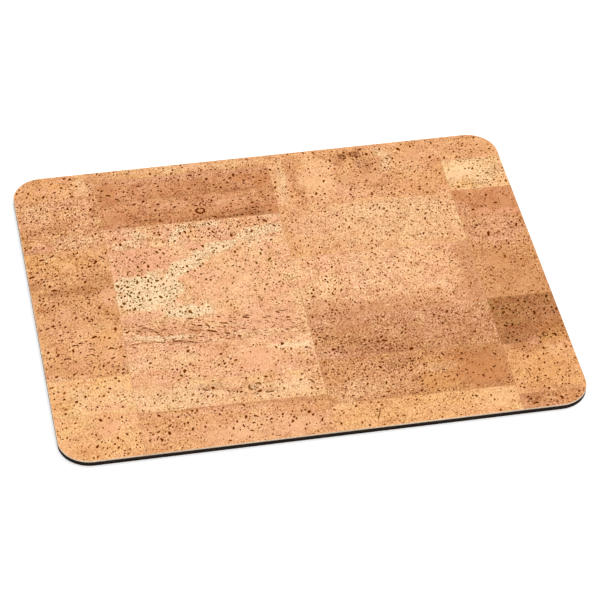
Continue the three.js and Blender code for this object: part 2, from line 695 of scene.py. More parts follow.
@dataclass(frozen=True)
class Streak:
    """A single long pore or growth line between two places, bowed to its left by bow millimetres."""

    x0: float
    y0: float
    x1: float
    y1: float
    width: float = 0.45
    bow: float = 0.0
    slot: Slot = Slot.PORE


@dataclass(frozen=True)
class Curl:
    """A pore or growth line that curls round a place."""

    x: float
    y: float
    half_x: float
    half_y: float
    width: float
    start: float = 100.0  # degrees, anticlockwise from the right, at which it begins and is thinnest
    sweep: float = 354.0
    slot: Slot = Slot.PORE
    blunt: float = 0.0  # least share of its width that it keeps towards its ends


@dataclass(frozen=True)
class Pores:
    """How a strip of bark is pored."""

    density: float  # tried pores per square centimetre
    width: float = 0.55  # mm, of a typical pore
    specks: float = 40.0  # tried grain pits per square centimetre, finer than pores
    stretch: float = 2.0  # greatest length over width
    slant: float = 0.0  # degrees that they lean to the right of the depth direction
    grain: float = 0.55  # how strongly the fine grain between them shows, from 0 to 1
    scatter: float = 32.0  # degrees by which their lean varies


@dataclass(frozen=True)
class SandedCork:
    """Cork bark, sliced and sanded: warm and matt, with bands, stains, fine grain and worm tracks."""

    bark: BarkTone
    pores: Pores
    patches: tuple[Patch, ...]

    mottle: float = 11.0  # mm, of the broad mottling
    band_length: float = 45.0  # mm, of the bands of growth
    band_width: float = 2.4
    band_strength: float = 0.5
    hue: float = 7.0  # mm over which the hue drifts between two tints
    pinker: Colour = (1.0, 0.95, 0.98, 1.0)
    yellower: Colour = (1.0, 1.02, 0.92, 1.0)
    waver: float = 6.0  # mm, of the waves in a patch's edge
    waver_reach: float = 1.2  # mm that they reach, and more in a large patch
    waver_share: float = 0.5  # of its lesser half
    patch_depth: float = 100.0  # mm, so that a patch reaches through the strip
    grain_width: float = 0.75  # mm; the real grain is half as wide, too fine to show
    grain_length: float = 1.3
    grain_swing: float = 1.1
    grain_deep: Place = (0.7, 0.96, 1.15)  # how far the grain's dark takes red, green and blue down
    grain_light: Place = (0.5, 0.75, 0.95)  # and its light takes them up
    worm: float = 1.6  # mm, of the worm tracks in the grain
    worm_gap: float = 4.0  # mm, of the stretches without any
    smoothest: float = 0.62
    roughest: float = 0.8
    specular: float = 0.1
    relief: float = 0.02  # mm
    relief_strength: float = 0.4

    def ground(self, tree: NodeTree, place: Node) -> Node:
        """Mottles the bark between its two tones, with bands of growth and drifts of hue.

        Args:
            tree: the material's tree.
            place: the point's place in millimetres.

        Returns:
            The colour.
        """
        broad = {"Vector": place, "Scale": 1 / self.mottle, "Detail": 3.0, "Roughness": 0.6}
        mottle = add_node(tree, "TexNoise", broad)
        tone = add_node(tree, "MapRange", {"Value": mottle, "From Min": 0.3, "From Max": 0.7})
        warm = linear(self.bark.warm)
        tones = {"Factor": tone, "A": warm, "B": linear(self.bark.pale)}
        colour = add_node(tree, "Mix", tones, data_type="RGBA")
        lay = (1 / self.band_length, 1 / self.band_width, 1 / self.band_length)
        banding = add_node(tree, "Mapping", {"Vector": place, "Scale": lay})
        bands = add_node(tree, "TexNoise", {"Vector": banding, "Scale": 1.0, "Detail": 2.0})
        dark = {"Value": bands, "From Min": 0.5, "From Max": 0.8, "To Max": self.band_strength}
        band = add_node(tree, "MapRange", dark)
        colour = add_node(tree, "Mix", {"Factor": band, "A": colour, "B": warm}, data_type="RGBA")
        hues = add_node(tree, "TexNoise", {"Vector": place, "Scale": 1 / self.hue, "Detail": 3.0})
        drift = add_node(tree, "MapRange", {"Value": hues, "From Min": 0.35, "From Max": 0.65})
        tints = {"Factor": drift, "A": self.pinker, "B": self.yellower}
        tint = add_node(tree, "Mix", tints, data_type="RGBA")
        tinted = {"Factor": 1.0, "A": colour, "B": tint}
        return add_node(tree, "Mix", tinted, data_type="RGBA", blend_type="MULTIPLY")

    def stained(
        self, tree: NodeTree, place: Node, colour: Node, pad: PadFace, top: float
    ) -> tuple[Node, Node | float]:
        """Stains the patches, each with a wavering edge.

        Args:
            tree: the material's tree.
            place: the point's place in millimetres.
            colour: the colour without stains.
            pad: the measuring frame of the patches.
            top: height of the strip's face.

        Returns:
            The colour, and the share of the grain that is left in calm patches.
        """
        waves = {"Vector": place, "Scale": 1 / self.waver, "Detail": 3.0}
        waver = add_node(tree, "TexNoise", waves, normalize=False).outputs["Color"]
        calm: Node | float = 1.0
        for patch in self.patches:
            centre = pad.at(patch.x, patch.y)
            reach = self.waver_reach + self.waver_share * min(patch.half_x, patch.half_y)
            shifts = {0: waver, 1: (reach, reach, 0.0), 2: place}
            wavered = add_node(tree, "VectorMath", shifts, operation="MULTIPLY_ADD")
            lay = {
                "Vector": wavered,
                "Location": (centre.x, centre.y, top),
                "Rotation": (0.0, 0.0, math.radians(patch.turn)),
                "Scale": (patch.half_x, patch.half_y, self.patch_depth),
            }
            local = add_node(tree, "Mapping", lay, vector_type="TEXTURE")
            radius = add_node(tree, "VectorMath", {0: local}, operation="LENGTH")
            fade = {"Value": radius, "From Min": 1 + patch.soft, "From Max": 1 - patch.soft}
            within = {**fade, "To Max": patch.strength}
            mask = add_node(tree, "MapRange", within, interpolation_type="SMOOTHSTEP")
            tones = {"Factor": mask, "A": colour, "B": linear(patch.stain.value)}
            colour = add_node(tree, "Mix", tones, data_type="RGBA")
            if patch.grain < 1:
                within = {**fade, "To Min": 1.0, "To Max": patch.grain}
                left = add_node(tree, "MapRange", within, interpolation_type="SMOOTHSTEP")
                calm = add_node(tree, "Math", {0: left, 1: calm}, operation="MULTIPLY")
        return colour, calm

    def worm_tracks(self, tree: NodeTree, place: Node, calm: Node | float) -> Node:
        """Winds thin tracks through the grain, in stretches, where a broad noise crosses its middle.

        Args:
            tree: the material's tree.
            place: the point's place in millimetres.
            calm: the share of the grain that is left.

        Returns:
            How much of a track a point has.
        """
        winding = {"Vector": place, "Scale": 1 / self.worm, "Detail": 1.0, "Distortion": 0.8}
        swirl = add_node(tree, "TexNoise", winding)
        off_line = add_node(tree, "Math", {0: swirl, 1: 0.5}, operation="SUBTRACT")
        off_line = add_node(tree, "Math", {0: off_line}, operation="ABSOLUTE")
        line = {"Value": off_line, "From Min": 0.07, "From Max": 0.01, "To Max": self.pores.grain}
        worm = add_node(tree, "MapRange", line)
        gaps = add_node(tree, "TexNoise", {"Vector": place, "Scale": 1 / self.worm_gap, "Detail": 2.0})
        kept = add_node(tree, "MapRange", {"Value": gaps, "From Min": 0.42, "From Max": 0.6})
        worm = add_node(tree, "Math", {0: worm, 1: kept}, operation="MULTIPLY")
        return add_node(tree, "Math", {0: worm, 1: calm}, operation="MULTIPLY")

    def material(self, name: str, pad: PadFace, top: float) -> Material:
        """Makes the material.

        Args:
            name: its name.
            pad: the measuring frame of the patches.
            top: height of the strip's face.

        Returns:
            The material.
        """
        material, tree = new_material(name)
        place = face_millimetres(tree)
        colour, calm = self.stained(tree, place, self.ground(tree, place), pad, top)
        lay = {
            "Vector": place,
            "Rotation": (0.0, 0.0, math.radians(-self.pores.slant)),
            "Scale": (1 / self.grain_width, 1 / self.grain_length, 1.0),
        }
        fibre = add_node(tree, "Mapping", lay)
        fine = {"Vector": fibre, "Scale": 1.0, "Detail": 2.0, "Roughness": 0.6}
        grain = add_node(tree, "TexNoise", fine)
        depth = add_node(tree, "MapRange", {"Value": grain, "From Min": 0.25, "From Max": 0.75})
        swing = self.grain_swing * self.pores.grain
        deep = (*(1 - share * swing for share in self.grain_deep), 1.0)
        light = (*(1 + share * swing for share in self.grain_light), 1.0)
        shade = add_node(tree, "Mix", {"Factor": depth, "A": deep, "B": light}, data_type="RGBA")
        tones = {"Factor": calm, "A": colour, "B": shade}
        shading = {"data_type": "RGBA", "blend_type": "MULTIPLY", "clamp_result": True}
        colour = add_node(tree, "Mix", tones, **shading)
        worm = self.worm_tracks(tree, place, calm)
        tones = {"Factor": worm, "A": colour, "B": linear(self.bark.speck.value.deep)}
        colour = add_node(tree, "Mix", tones, data_type="RGBA")
        sanding = {"From Min": 0.3, "From Max": 0.7, "To Min": self.smoothest, "To Max": self.roughest}
        rough = add_node(tree, "MapRange", {"Value": grain, **sanding})
        relief = {"Height": grain, "Distance": self.relief * MM, "Strength": self.relief_strength}
        bump = add_node(tree, "Bump", relief)
        matt = {"Roughness": rough, "Specular IOR Level": self.specular}
        shader = add_node(tree, "BsdfPrincipled", {"Base Color": colour, "Normal": bump, **matt})
        add_node(tree, "OutputMaterial", {"Surface": shader})
        return material


@dataclass
class PoreBoard:
    """The marks cut in one strip's face. It keeps them clear of each other and of the strip's edge."""

    outline: Outline
    draw: random.Random  # source of the unevenness of their rims
    gap: float = 0.1
    margin: float = 0.2
    cell: float = 2.5
    floor_share: float = 0.4  # a mark's width at its floor over its width at its rim
    depth_share: float = 0.3  # its depth over its width
    least_depth: float = 0.08
    most_depth: float = 0.3
    uneven: tuple[float, float] = (0.45, 1.4)  # least and greatest half of its width over the even half
    marks: list[Mark] = field(default_factory=list)
    taken: dict[tuple[int, int], list[tuple[Vector, float]]] = field(default_factory=dict)

    def __post_init__(self) -> None:
        """Works out the sides that marks stay clear of."""
        self.sides = list(zip(self.outline, side_normals(self.outline)))

    def inside(self, point: Vector) -> bool:
        """Tells whether a point is inside the outline by the margin."""
        return all((point - start).dot(normal) > self.margin for start, normal in self.sides)

    def cell_of(self, point: Vector) -> tuple[int, int]:
        """Returns the cell of the board that a point is in."""
        return int(point.x // self.cell), int(point.y // self.cell)

    def clear(self, point: Vector, radius: float) -> bool:
        """Tells whether a round spot touches no mark that is there already.

        Args:
            point: its middle.
            radius: its radius.

        Returns:
            Whether it is clear.
        """
        i, j = self.cell_of(point)
        near = (spot for a in (-1, 0, 1) for b in (-1, 0, 1) for spot in self.taken.get((i + a, j + b), ()))
        return all((point - other).length > radius + size + self.gap for other, size in near)

    def cut(self, spine: Outline, width: float, slot: Slot, blunt: float = 0.0) -> bool:
        """Cuts a mark along a spine, if there is room for it.

        Args:
            spine: points along the middle of the mark, from tip to tip.
            width: its greatest width.
            slot: material slot of its inside.
            blunt: least share of its width that it keeps towards its tips.

        Returns:
            Whether it was cut.
        """
        last = len(spine) - 1
        left, right, spots = [], [], []
        for i in range(1, last):
            along = spine[i + 1] - spine[i - 1]
            across = Vector((-along.y, along.x)).normalized()
            half = width / 2 * max(blunt, math.sqrt(1 - (2 * i / last - 1) ** 2))
            a, b = half * self.draw.uniform(*self.uneven), half * self.draw.uniform(*self.uneven)
            left.append((spine[i], across * a))
            right.append((spine[i], across * -b))
            spots.append((spine[i], max(a, b)))
        left.reverse()
        rim = [spine[0], *(point + off for point, off in right)]
        rim += [spine[last], *(point + off for point, off in left)]
        if not all(self.inside(point) for point in rim):
            return False
        if not all(self.clear(*spot) for spot in spots):
            return False
        floor = [point + off * self.floor_share for point, off in right + left]
        depth = min(self.most_depth, max(self.least_depth, width * self.depth_share))
        self.marks.append(Mark(rim, floor, -depth, slot))
        for point, radius in spots:
            self.taken.setdefault(self.cell_of(point), []).append((point, radius))
        return True


@dataclass
class CorkStrip:
    """One strip of cork bark in the pad's face."""

    label: str  # its leaf's letter and its number from the back
    bark: Bark
    pores: Pores
    patches: tuple[Patch, ...] = ()
    clusters: tuple[Cluster, ...] = ()
    streaks: tuple[Streak, ...] = ()
    curls: tuple[Curl, ...] = ()
    lone: tuple[tuple[float, float], ...] = ()  # places of single large pores

    lone_width: float = 1.05
    lone_stretch: float = 1.5
    seam_fill: float = 0.02  # mm by which each side closes up on the glue line
    seam_round: float = 0.02
    die_round: float = 0.14
    shoulder: float = 0.3  # how far in the rounding's middle ring lies, as a share of the rounding
    node: str = field(init=False)
    bottom: float = field(init=False)
    top: float = field(init=False)

    def __post_init__(self) -> None:
        """Names the strip's node, reads its heights and seeds its draws."""
        self.node = f"cork_strip_{self.label}"
        self.bottom, self.top = heights_of(self.node)
        self.draw = random.Random(self.node)

    def cut_pore(
        self, board: PoreBoard, centre: Vector, width: float, stretch: float, slot: Slot = Slot.PORE
    ) -> bool:
        """Cuts one pore, straight or curled, that leans as the strip's pores do.

        Args:
            board: where it is cut.
            centre: its middle.
            width: its width.
            stretch: its greatest length over its width.
            slot: material slot of its inside.

        Returns:
            Whether there was room for it.
        """
        small, few, many = 0.45, 3, 5  # mm of width under which a pore has few steps from tip to tip
        plump = 1.1  # least length over width
        bend, curled, least, most = 0.5, 0.45, 1.0, 2.8  # radians, and the share of pores that curl
        tight = 1.3  # greatest curl in radians for each width of length
        steps = few if width < small else many
        length = width * self.draw.uniform(plump, plump * stretch)
        tightest = tight * length / width
        curl = self.draw.gauss(0, bend)
        if self.draw.random() < curled:
            curl = self.draw.choice((-1, 1)) * self.draw.uniform(least, most)
        curl = max(-tightest, min(tightest, curl))
        heading = math.radians(self.pores.slant + self.draw.gauss(0, self.pores.scatter)) - curl / 2
        spine = [Vector((0.0, 0.0))]
        for _ in range(steps):
            heading += curl / steps
            spine.append(spine[-1] + Vector((math.sin(heading), math.cos(heading))) * (length / steps))
        middle = (spine[0] + spine[-1]) / 2
        return board.cut([centre + point - middle for point in spine], width, slot)

    def rule_streaks(self, board: PoreBoard, pad: PadFace) -> None:
        """Cuts the streaks.

        Args:
            board: where they are cut.
            pad: the measuring frame.
        """
        step, waver, fewest = 0.6, 0.06, 4
        for streak in self.streaks:
            start, end = pad.at(streak.x0, streak.y0), pad.at(streak.x1, streak.y1)
            along = (end - start).normalized()
            across = Vector((-along.y, along.x))
            count = max(fewest, round((end - start).length / step))
            spine = []
            for i in range(count + 1):
                t = i / count
                off = 4 * t * (1 - t) * streak.bow + self.draw.gauss(0, waver)
                spine.append(start.lerp(end, t) + across * off)
            board.cut(spine, streak.width, streak.slot)

    def wind_curls(self, board: PoreBoard, pad: PadFace) -> None:
        """Cuts the curls.

        Args:
            board: where they are cut.
            pad: the measuring frame.
        """
        step, fewest = 0.4, 6
        for curl in self.curls:
            centre = pad.at(curl.x, curl.y)
            sweep = math.radians(curl.sweep)
            count = max(fewest, round(sweep * max(curl.half_x, curl.half_y) / step))
            angles = [math.radians(curl.start) + sweep * i / count for i in range(count + 1)]
            spine = [centre + Vector((curl.half_x * math.cos(a), curl.half_y * math.sin(a))) for a in angles]
            board.cut(spine, curl.width, curl.slot, curl.blunt)

    def set_lone_pores(self, board: PoreBoard, pad: PadFace) -> None:
        """Cuts the single large pores.

        Args:
            board: where they are cut.
            pad: the measuring frame.
        """
        variety = 0.18
        for x, y in self.lone:
            width = self.lone_width * math.exp(self.draw.gauss(0, variety))
            self.cut_pore(board, pad.at(x, y), width, self.lone_stretch)

    def crowd_pores(self, board: PoreBoard, pad: PadFace) -> None:
        """Cuts the clusters of pores.

        Args:
            board: where they are cut.
            pad: the measuring frame.
        """
        variety = 0.34
        for cluster in self.clusters:
            for _ in range(cluster.count):
                x = self.draw.gauss(cluster.x, cluster.half_x / 2)
                y = self.draw.gauss(cluster.y, cluster.half_y / 2)
                width = cluster.width * math.exp(self.draw.gauss(0, variety))
                self.cut_pore(board, pad.at(x, y), width, self.pores.stretch)

    def spread_pores(self, board: PoreBoard, pad: PadFace) -> None:
        """Scatters the strip's own pores and grain pits, in loose drifts and thinly in its calm patches.

        Args:
            board: where they are cut.
            pad: the measuring frame.
        """
        drift, knot, knot_share = 9.0, 3.0, 0.7  # mm, of the drifts and of the closer knots in them
        usual, swing = 0.95, 1.6  # chance of a pore, and how far drifts and knots change it
        alone = 0.78  # share of the density that is tried for: the rest comes as company
        speck_width, variety, widest = 0.5, 0.5, 2.3
        farthest = 500  # from one strip's drifts to another's, in the noise that they come from
        xs = [p.x for p in board.outline]
        ys = [p.y for p in board.outline]
        area = (max(xs) - min(xs)) * (max(ys) - min(ys)) / 100  # square centimetres
        shift = self.draw.uniform(0, farthest)
        kinds = (
            (round(area * self.pores.density * alone), self.pores.width, Slot.PORE),
            (round(area * self.pores.specks), speck_width, Slot.SPECK),
        )
        for tries, typical, slot in kinds:
            for _ in range(tries):
                place = Vector((self.draw.uniform(min(xs), max(xs)), self.draw.uniform(min(ys), max(ys))))
                width = typical * min(widest, math.exp(self.draw.gauss(0, variety)))
                thick = noise.noise(Vector((place.x / drift, place.y / drift, shift)))
                thick += knot_share * noise.noise(Vector((place.x / knot, place.y / knot, shift)))
                calm = math.prod(patch.grain for patch in self.patches if patch.covers(place, pad))
                if self.draw.random() > calm * (usual + swing * thick):
                    continue
                if self.cut_pore(board, place, width, self.pores.stretch, slot) and slot is Slot.PORE:
                    self.add_company(board, place, width)

    def add_company(self, board: PoreBoard, place: Vector, width: float) -> None:
        """Cuts more pores beside one, as they crowd in bark.

        Args:
            board: where they are cut.
            place: middle of the pore.
            width: its width.
        """
        chance, reach, stretch = 0.42, 0.72, 1.4
        least, most = 0.6, 1.1  # of the next pore's width over this one's
        while self.draw.random() < chance:
            angle = self.draw.uniform(0, math.tau)
            size = width * self.draw.uniform(least, most)
            place = place + Vector((math.cos(angle), math.sin(angle))) * (width + size) * reach
            width = size
            self.cut_pore(board, place, size, stretch)

    def build(self, pad: PadFace, finishes: list[Material]) -> Object:
        """Builds the strip with its pores.

        Args:
            pad: the pad's outline and measuring frame.
            finishes: materials for the strip's slots.

        Returns:
            The strip.
        """
        hull = hull_of(self.node)
        outer = [pad.on_edge((a + b) / 2) for a, b in zip(hull, hull[1:] + hull[:1])]
        profile = [(0.0, self.bottom)]
        profile += [(share, self.top - self.die_round * (1 - share)) for share in (0.0, self.shoulder, 1.0)]
        rings = []
        for share, height in profile:
            seam = share * self.seam_round - self.seam_fill
            rings.append((inset(hull, [share * self.die_round if cut else seam for cut in outer]), height))
        sheet = SheetMesh(f"cork_{self.label}")
        made = sheet.wall(rings, [Slot.EDGE if cut else Slot.SEAM for cut in outer])
        board = PoreBoard(rings[-1][0], self.draw)
        self.rule_streaks(board, pad)
        self.wind_curls(board, pad)
        self.set_lone_pores(board, pad)
        self.crowd_pores(board, pad)
        self.spread_pores(board, pad)
        sheet.face(made[-1], Side.TOP, board.marks, Slot.FACE)
        sheet.face(made[0], Side.UNDERSIDE, slot=Slot.SEAM)
        return sheet.finish(self.node, self.bark.value.slot, finishes)

    def face_material(self, pad: PadFace) -> Material:
        """Returns the finish of the strip's face."""
        cork = SandedCork(self.bark.value, self.pores, self.patches)
        return cork.material(f"Cork bark, sliced and sanded {self.label}", pad, self.top)


def leaf_a() -> Iterator[CorkStrip]:
    """Yields the strips along the left edge, from the back to the front."""
    yield CorkStrip(
        "a1", Bark.AMBER, Pores(25, 0.6, 44, 2.2, slant=12, grain=0.6),
        patches=(
            Patch(14.5, 11.5, 4, 2, Stain.BLUSH, 0.4, grain=0.3), Patch(36, 11, 5, 5, Stain.STRAW, 0.5),
            Patch(22.5, 8, 4, 2, Stain.OCHRE, 0.6), Patch(31, 18.4, 11, 0.8, Stain.CLAY, 0.5),
            Patch(40, 8, 2.5, 9, Stain.CLAY, 0.5),
        ),
        clusters=(Cluster(39.5, 14, 1, 8, 18, 0.7),),
        lone=((7.2, 18), (13.4, 8.6), (20.6, 2.6), (30.4, 7.4), (38, 8.2), (32.4, 9.2)),
    )
    yield CorkStrip(
        "a2", Bark.TAN, Pores(34, 0.56, 60, 2.6, slant=10, grain=0.87),
        patches=(Patch(24, 22, 16, 4, Stain.BLUSH, 0.3), Patch(9, 27, 7, 6, Stain.STRAW, 0.3)),
        clusters=(Cluster(38.5, 28, 2, 8, 20, 0.7),),
        lone=((19.5, 26), (24, 28.2), (19, 29.6), (33.4, 27), (10.2, 24), (13, 34.8), (37, 33.2)),
    )
    yield CorkStrip(
        "a3", Bark.TAN, Pores(34, 0.58, 60, 2.4, slant=14, grain=0.85),
        patches=(
            Patch(12, 40.5, 16, 2.2, Stain.CLAY, 0.35), Patch(8, 54, 7, 3, Stain.PINK, 0.6),
            Patch(26, 50, 12, 5, Stain.STRAW, 0.4),
        ),
        clusters=(Cluster(39, 42, 1.5, 8, 18, 0.75), Cluster(8, 40, 6, 3, 12, 0.7)),
        streaks=(Streak(13.2, 42, 16, 41, 0.8), Streak(24.6, 50.2, 26.6, 49.2, 1.0)),
        lone=((19, 43.4), (20.4, 44.2), (18, 39.6), (24.2, 54.8), (27, 55.4), (31.2, 53), (13.4, 35.4)),
    )
    # Ochre at the back, dark and crowded at the front
    yield CorkStrip(
        "a4", Bark.TAN, Pores(28, 0.68, 44, 2.2, slant=35, grain=0.7),
        patches=(
            Patch(4, 62, 4, 8, Stain.OCHRE, 0.7), Patch(22, 66, 16, 6, Stain.OCHRE, 0.4),
            Patch(20, 68.5, 3, 2.6, Stain.STRAW, 0.35, soft=0.6, grain=0.3),
            Patch(31, 64, 9, 1.4, Stain.CLAY, 0.45, -16),
            Patch(34, 79, 8, 5, Stain.CHESTNUT, 0.35, soft=0.7),
            Patch(3, 80, 5, 4, Stain.CHESTNUT, 0.45, soft=0.7),
        ),
        clusters=(Cluster(34, 79, 7, 4, 30, 0.75), Cluster(15, 78, 8, 3, 12, 0.75)),
        streaks=(
            Streak(12.4, 60.6, 15, 58.2, 1.2), Streak(36, 62.6, 39.4, 66, 0.9),
            Streak(25.8, 76, 28.6, 76.5, 0.9), Streak(22.8, 78.2, 25.6, 77.2, 0.5),
        ),
        lone=(
            (17.3, 61), (26.5, 67.4), (13.3, 67.4), (10, 71), (31, 73.3), (4.8, 77), (7.3, 77.1), (33.5, 76),
        ),
    )
    # Dark and crowded along its back
    yield CorkStrip(
        "a5", Bark.TAN, Pores(23, 0.58, 56, 2.2, slant=40, grain=0.62),
        patches=(
            Patch(20, 98, 24, 13, Stain.CLAY, 0.25),
            Patch(22, 85.8, 17, 3.4, Stain.CHESTNUT, 0.55, soft=0.7),
            Patch(11, 88, 6, 2, Stain.WALNUT, 0.3, soft=0.7),
            Patch(37, 92, 3.5, 7, Stain.BLUSH, 0.5, grain=0.25),
            Patch(15, 100, 3, 4, Stain.BLUSH, 0.4, grain=0.3), Patch(4.5, 97, 3, 3, Stain.EMBER, 0.4),
        ),
        clusters=(
            Cluster(20, 87, 15, 3, 46, 0.7), Cluster(8, 89.6, 5, 1, 9, 0.75),
            Cluster(10, 108.5, 4, 2, 10, 0.7), Cluster(36.5, 107, 3, 3, 9, 0.8),
        ),
        streaks=(
            Streak(21.4, 89.4, 23.4, 89.4, 0.5, 0.9), Streak(25.6, 89.4, 27.4, 89.2, 0.5, 0.8),
            Streak(33.4, 108.6, 35.6, 108.4, 0.6, 0.9),
        ),
        lone=((10, 87), (10.8, 87.4), (32.4, 89), (34.6, 85), (37.2, 105.6), (28, 111), (29.6, 90.4)),
    )
    # Large pores and short arcs
    yield CorkStrip(
        "a6", Bark.AMBER, Pores(20, 0.6, 54, 2.4, slant=55, grain=0.62),
        patches=(
            Patch(17.5, 131, 3, 3, Stain.CLAY, 0.25, soft=0.6, grain=0.35),
            Patch(31, 132, 4, 4, Stain.BLUSH, 0.3, soft=0.6, grain=0.35),
            Patch(30, 120, 7, 5, Stain.OCHRE, 0.35, grain=0.5), Patch(10, 139, 12, 5, Stain.CLAY, 0.2),
            Patch(38, 143, 3, 4, Stain.SMOKE, 0.3), Patch(8, 147, 9, 1.6, Stain.STRAW, 0.5),
        ),
        clusters=(
            Cluster(38, 144.5, 2, 3, 20, 0.75), Cluster(31, 146, 4, 2, 12, 0.75), Cluster(10, 145, 5, 1, 8),
        ),
        streaks=(Streak(31.4, 129, 34.6, 129, 1.2, 0.8), Streak(22.2, 130.8, 25, 132.6, 0.85, 0.5)),
        curls=(
            Curl(11.6, 133.4, 1.7, 1.4, 1.0, 0, 170), Curl(23.8, 128.4, 1.4, 1.0, 0.9, -40, 200),
            Curl(4.4, 131.2, 1.1, 1.0, 0.9, 40, 190), Curl(16.4, 124.6, 1.4, 1.0, 0.9, -60, 240),
        ),
        lone=(
            (1.8, 117.2), (18, 114.6), (10.2, 115.6), (28.2, 116.4), (15.4, 134.8), (3.2, 136), (5.2, 143.3),
            (17.3, 143.4), (20.7, 141.9), (28, 139.5), (32, 139.5), (34, 143.4), (38.4, 134.8), (33, 121),
        ),
    )
    # Pale, with few pores but large ones
    yield CorkStrip(
        "a7", Bark.WHEAT, Pores(9, 0.58, 32, 1.9, slant=20, grain=0.5),
        patches=(
            Patch(24, 161, 16, 9, Stain.STRAW, 0.3), Patch(5, 158, 6, 9, Stain.OCHRE, 0.35),
            Patch(30, 167, 4, 3, Stain.PINK, 0.5),
        ),
        lone=(
            (7.5, 150.6), (33.7, 151), (26.3, 153.6), (28.8, 155.2), (13, 157.4), (16.7, 158.5), (12, 161.2),
            (34, 160.2), (34.6, 161.6), (2.6, 154), (16, 165), (33, 168), (27, 150),
        ),
    )
    yield CorkStrip(
        "a8", Bark.HONEY, Pores(10, 0.55, 30, 1.9, slant=20, grain=0.5),
        patches=(Patch(14, 193, 12, 4, Stain.OCHRE, 0.3), Patch(24, 180, 6, 4, Stain.PINK, 0.4, grain=0.6)),
        clusters=(Cluster(39, 184, 1, 9, 22, 0.75), Cluster(22, 189, 5, 5, 14, 0.8)),
        lone=(
            (21.8, 174.5), (25.4, 174), (31.2, 174.4), (18, 184), (22, 193), (27, 193.4), (28, 187.4),
            (6, 185),
        ),
    )


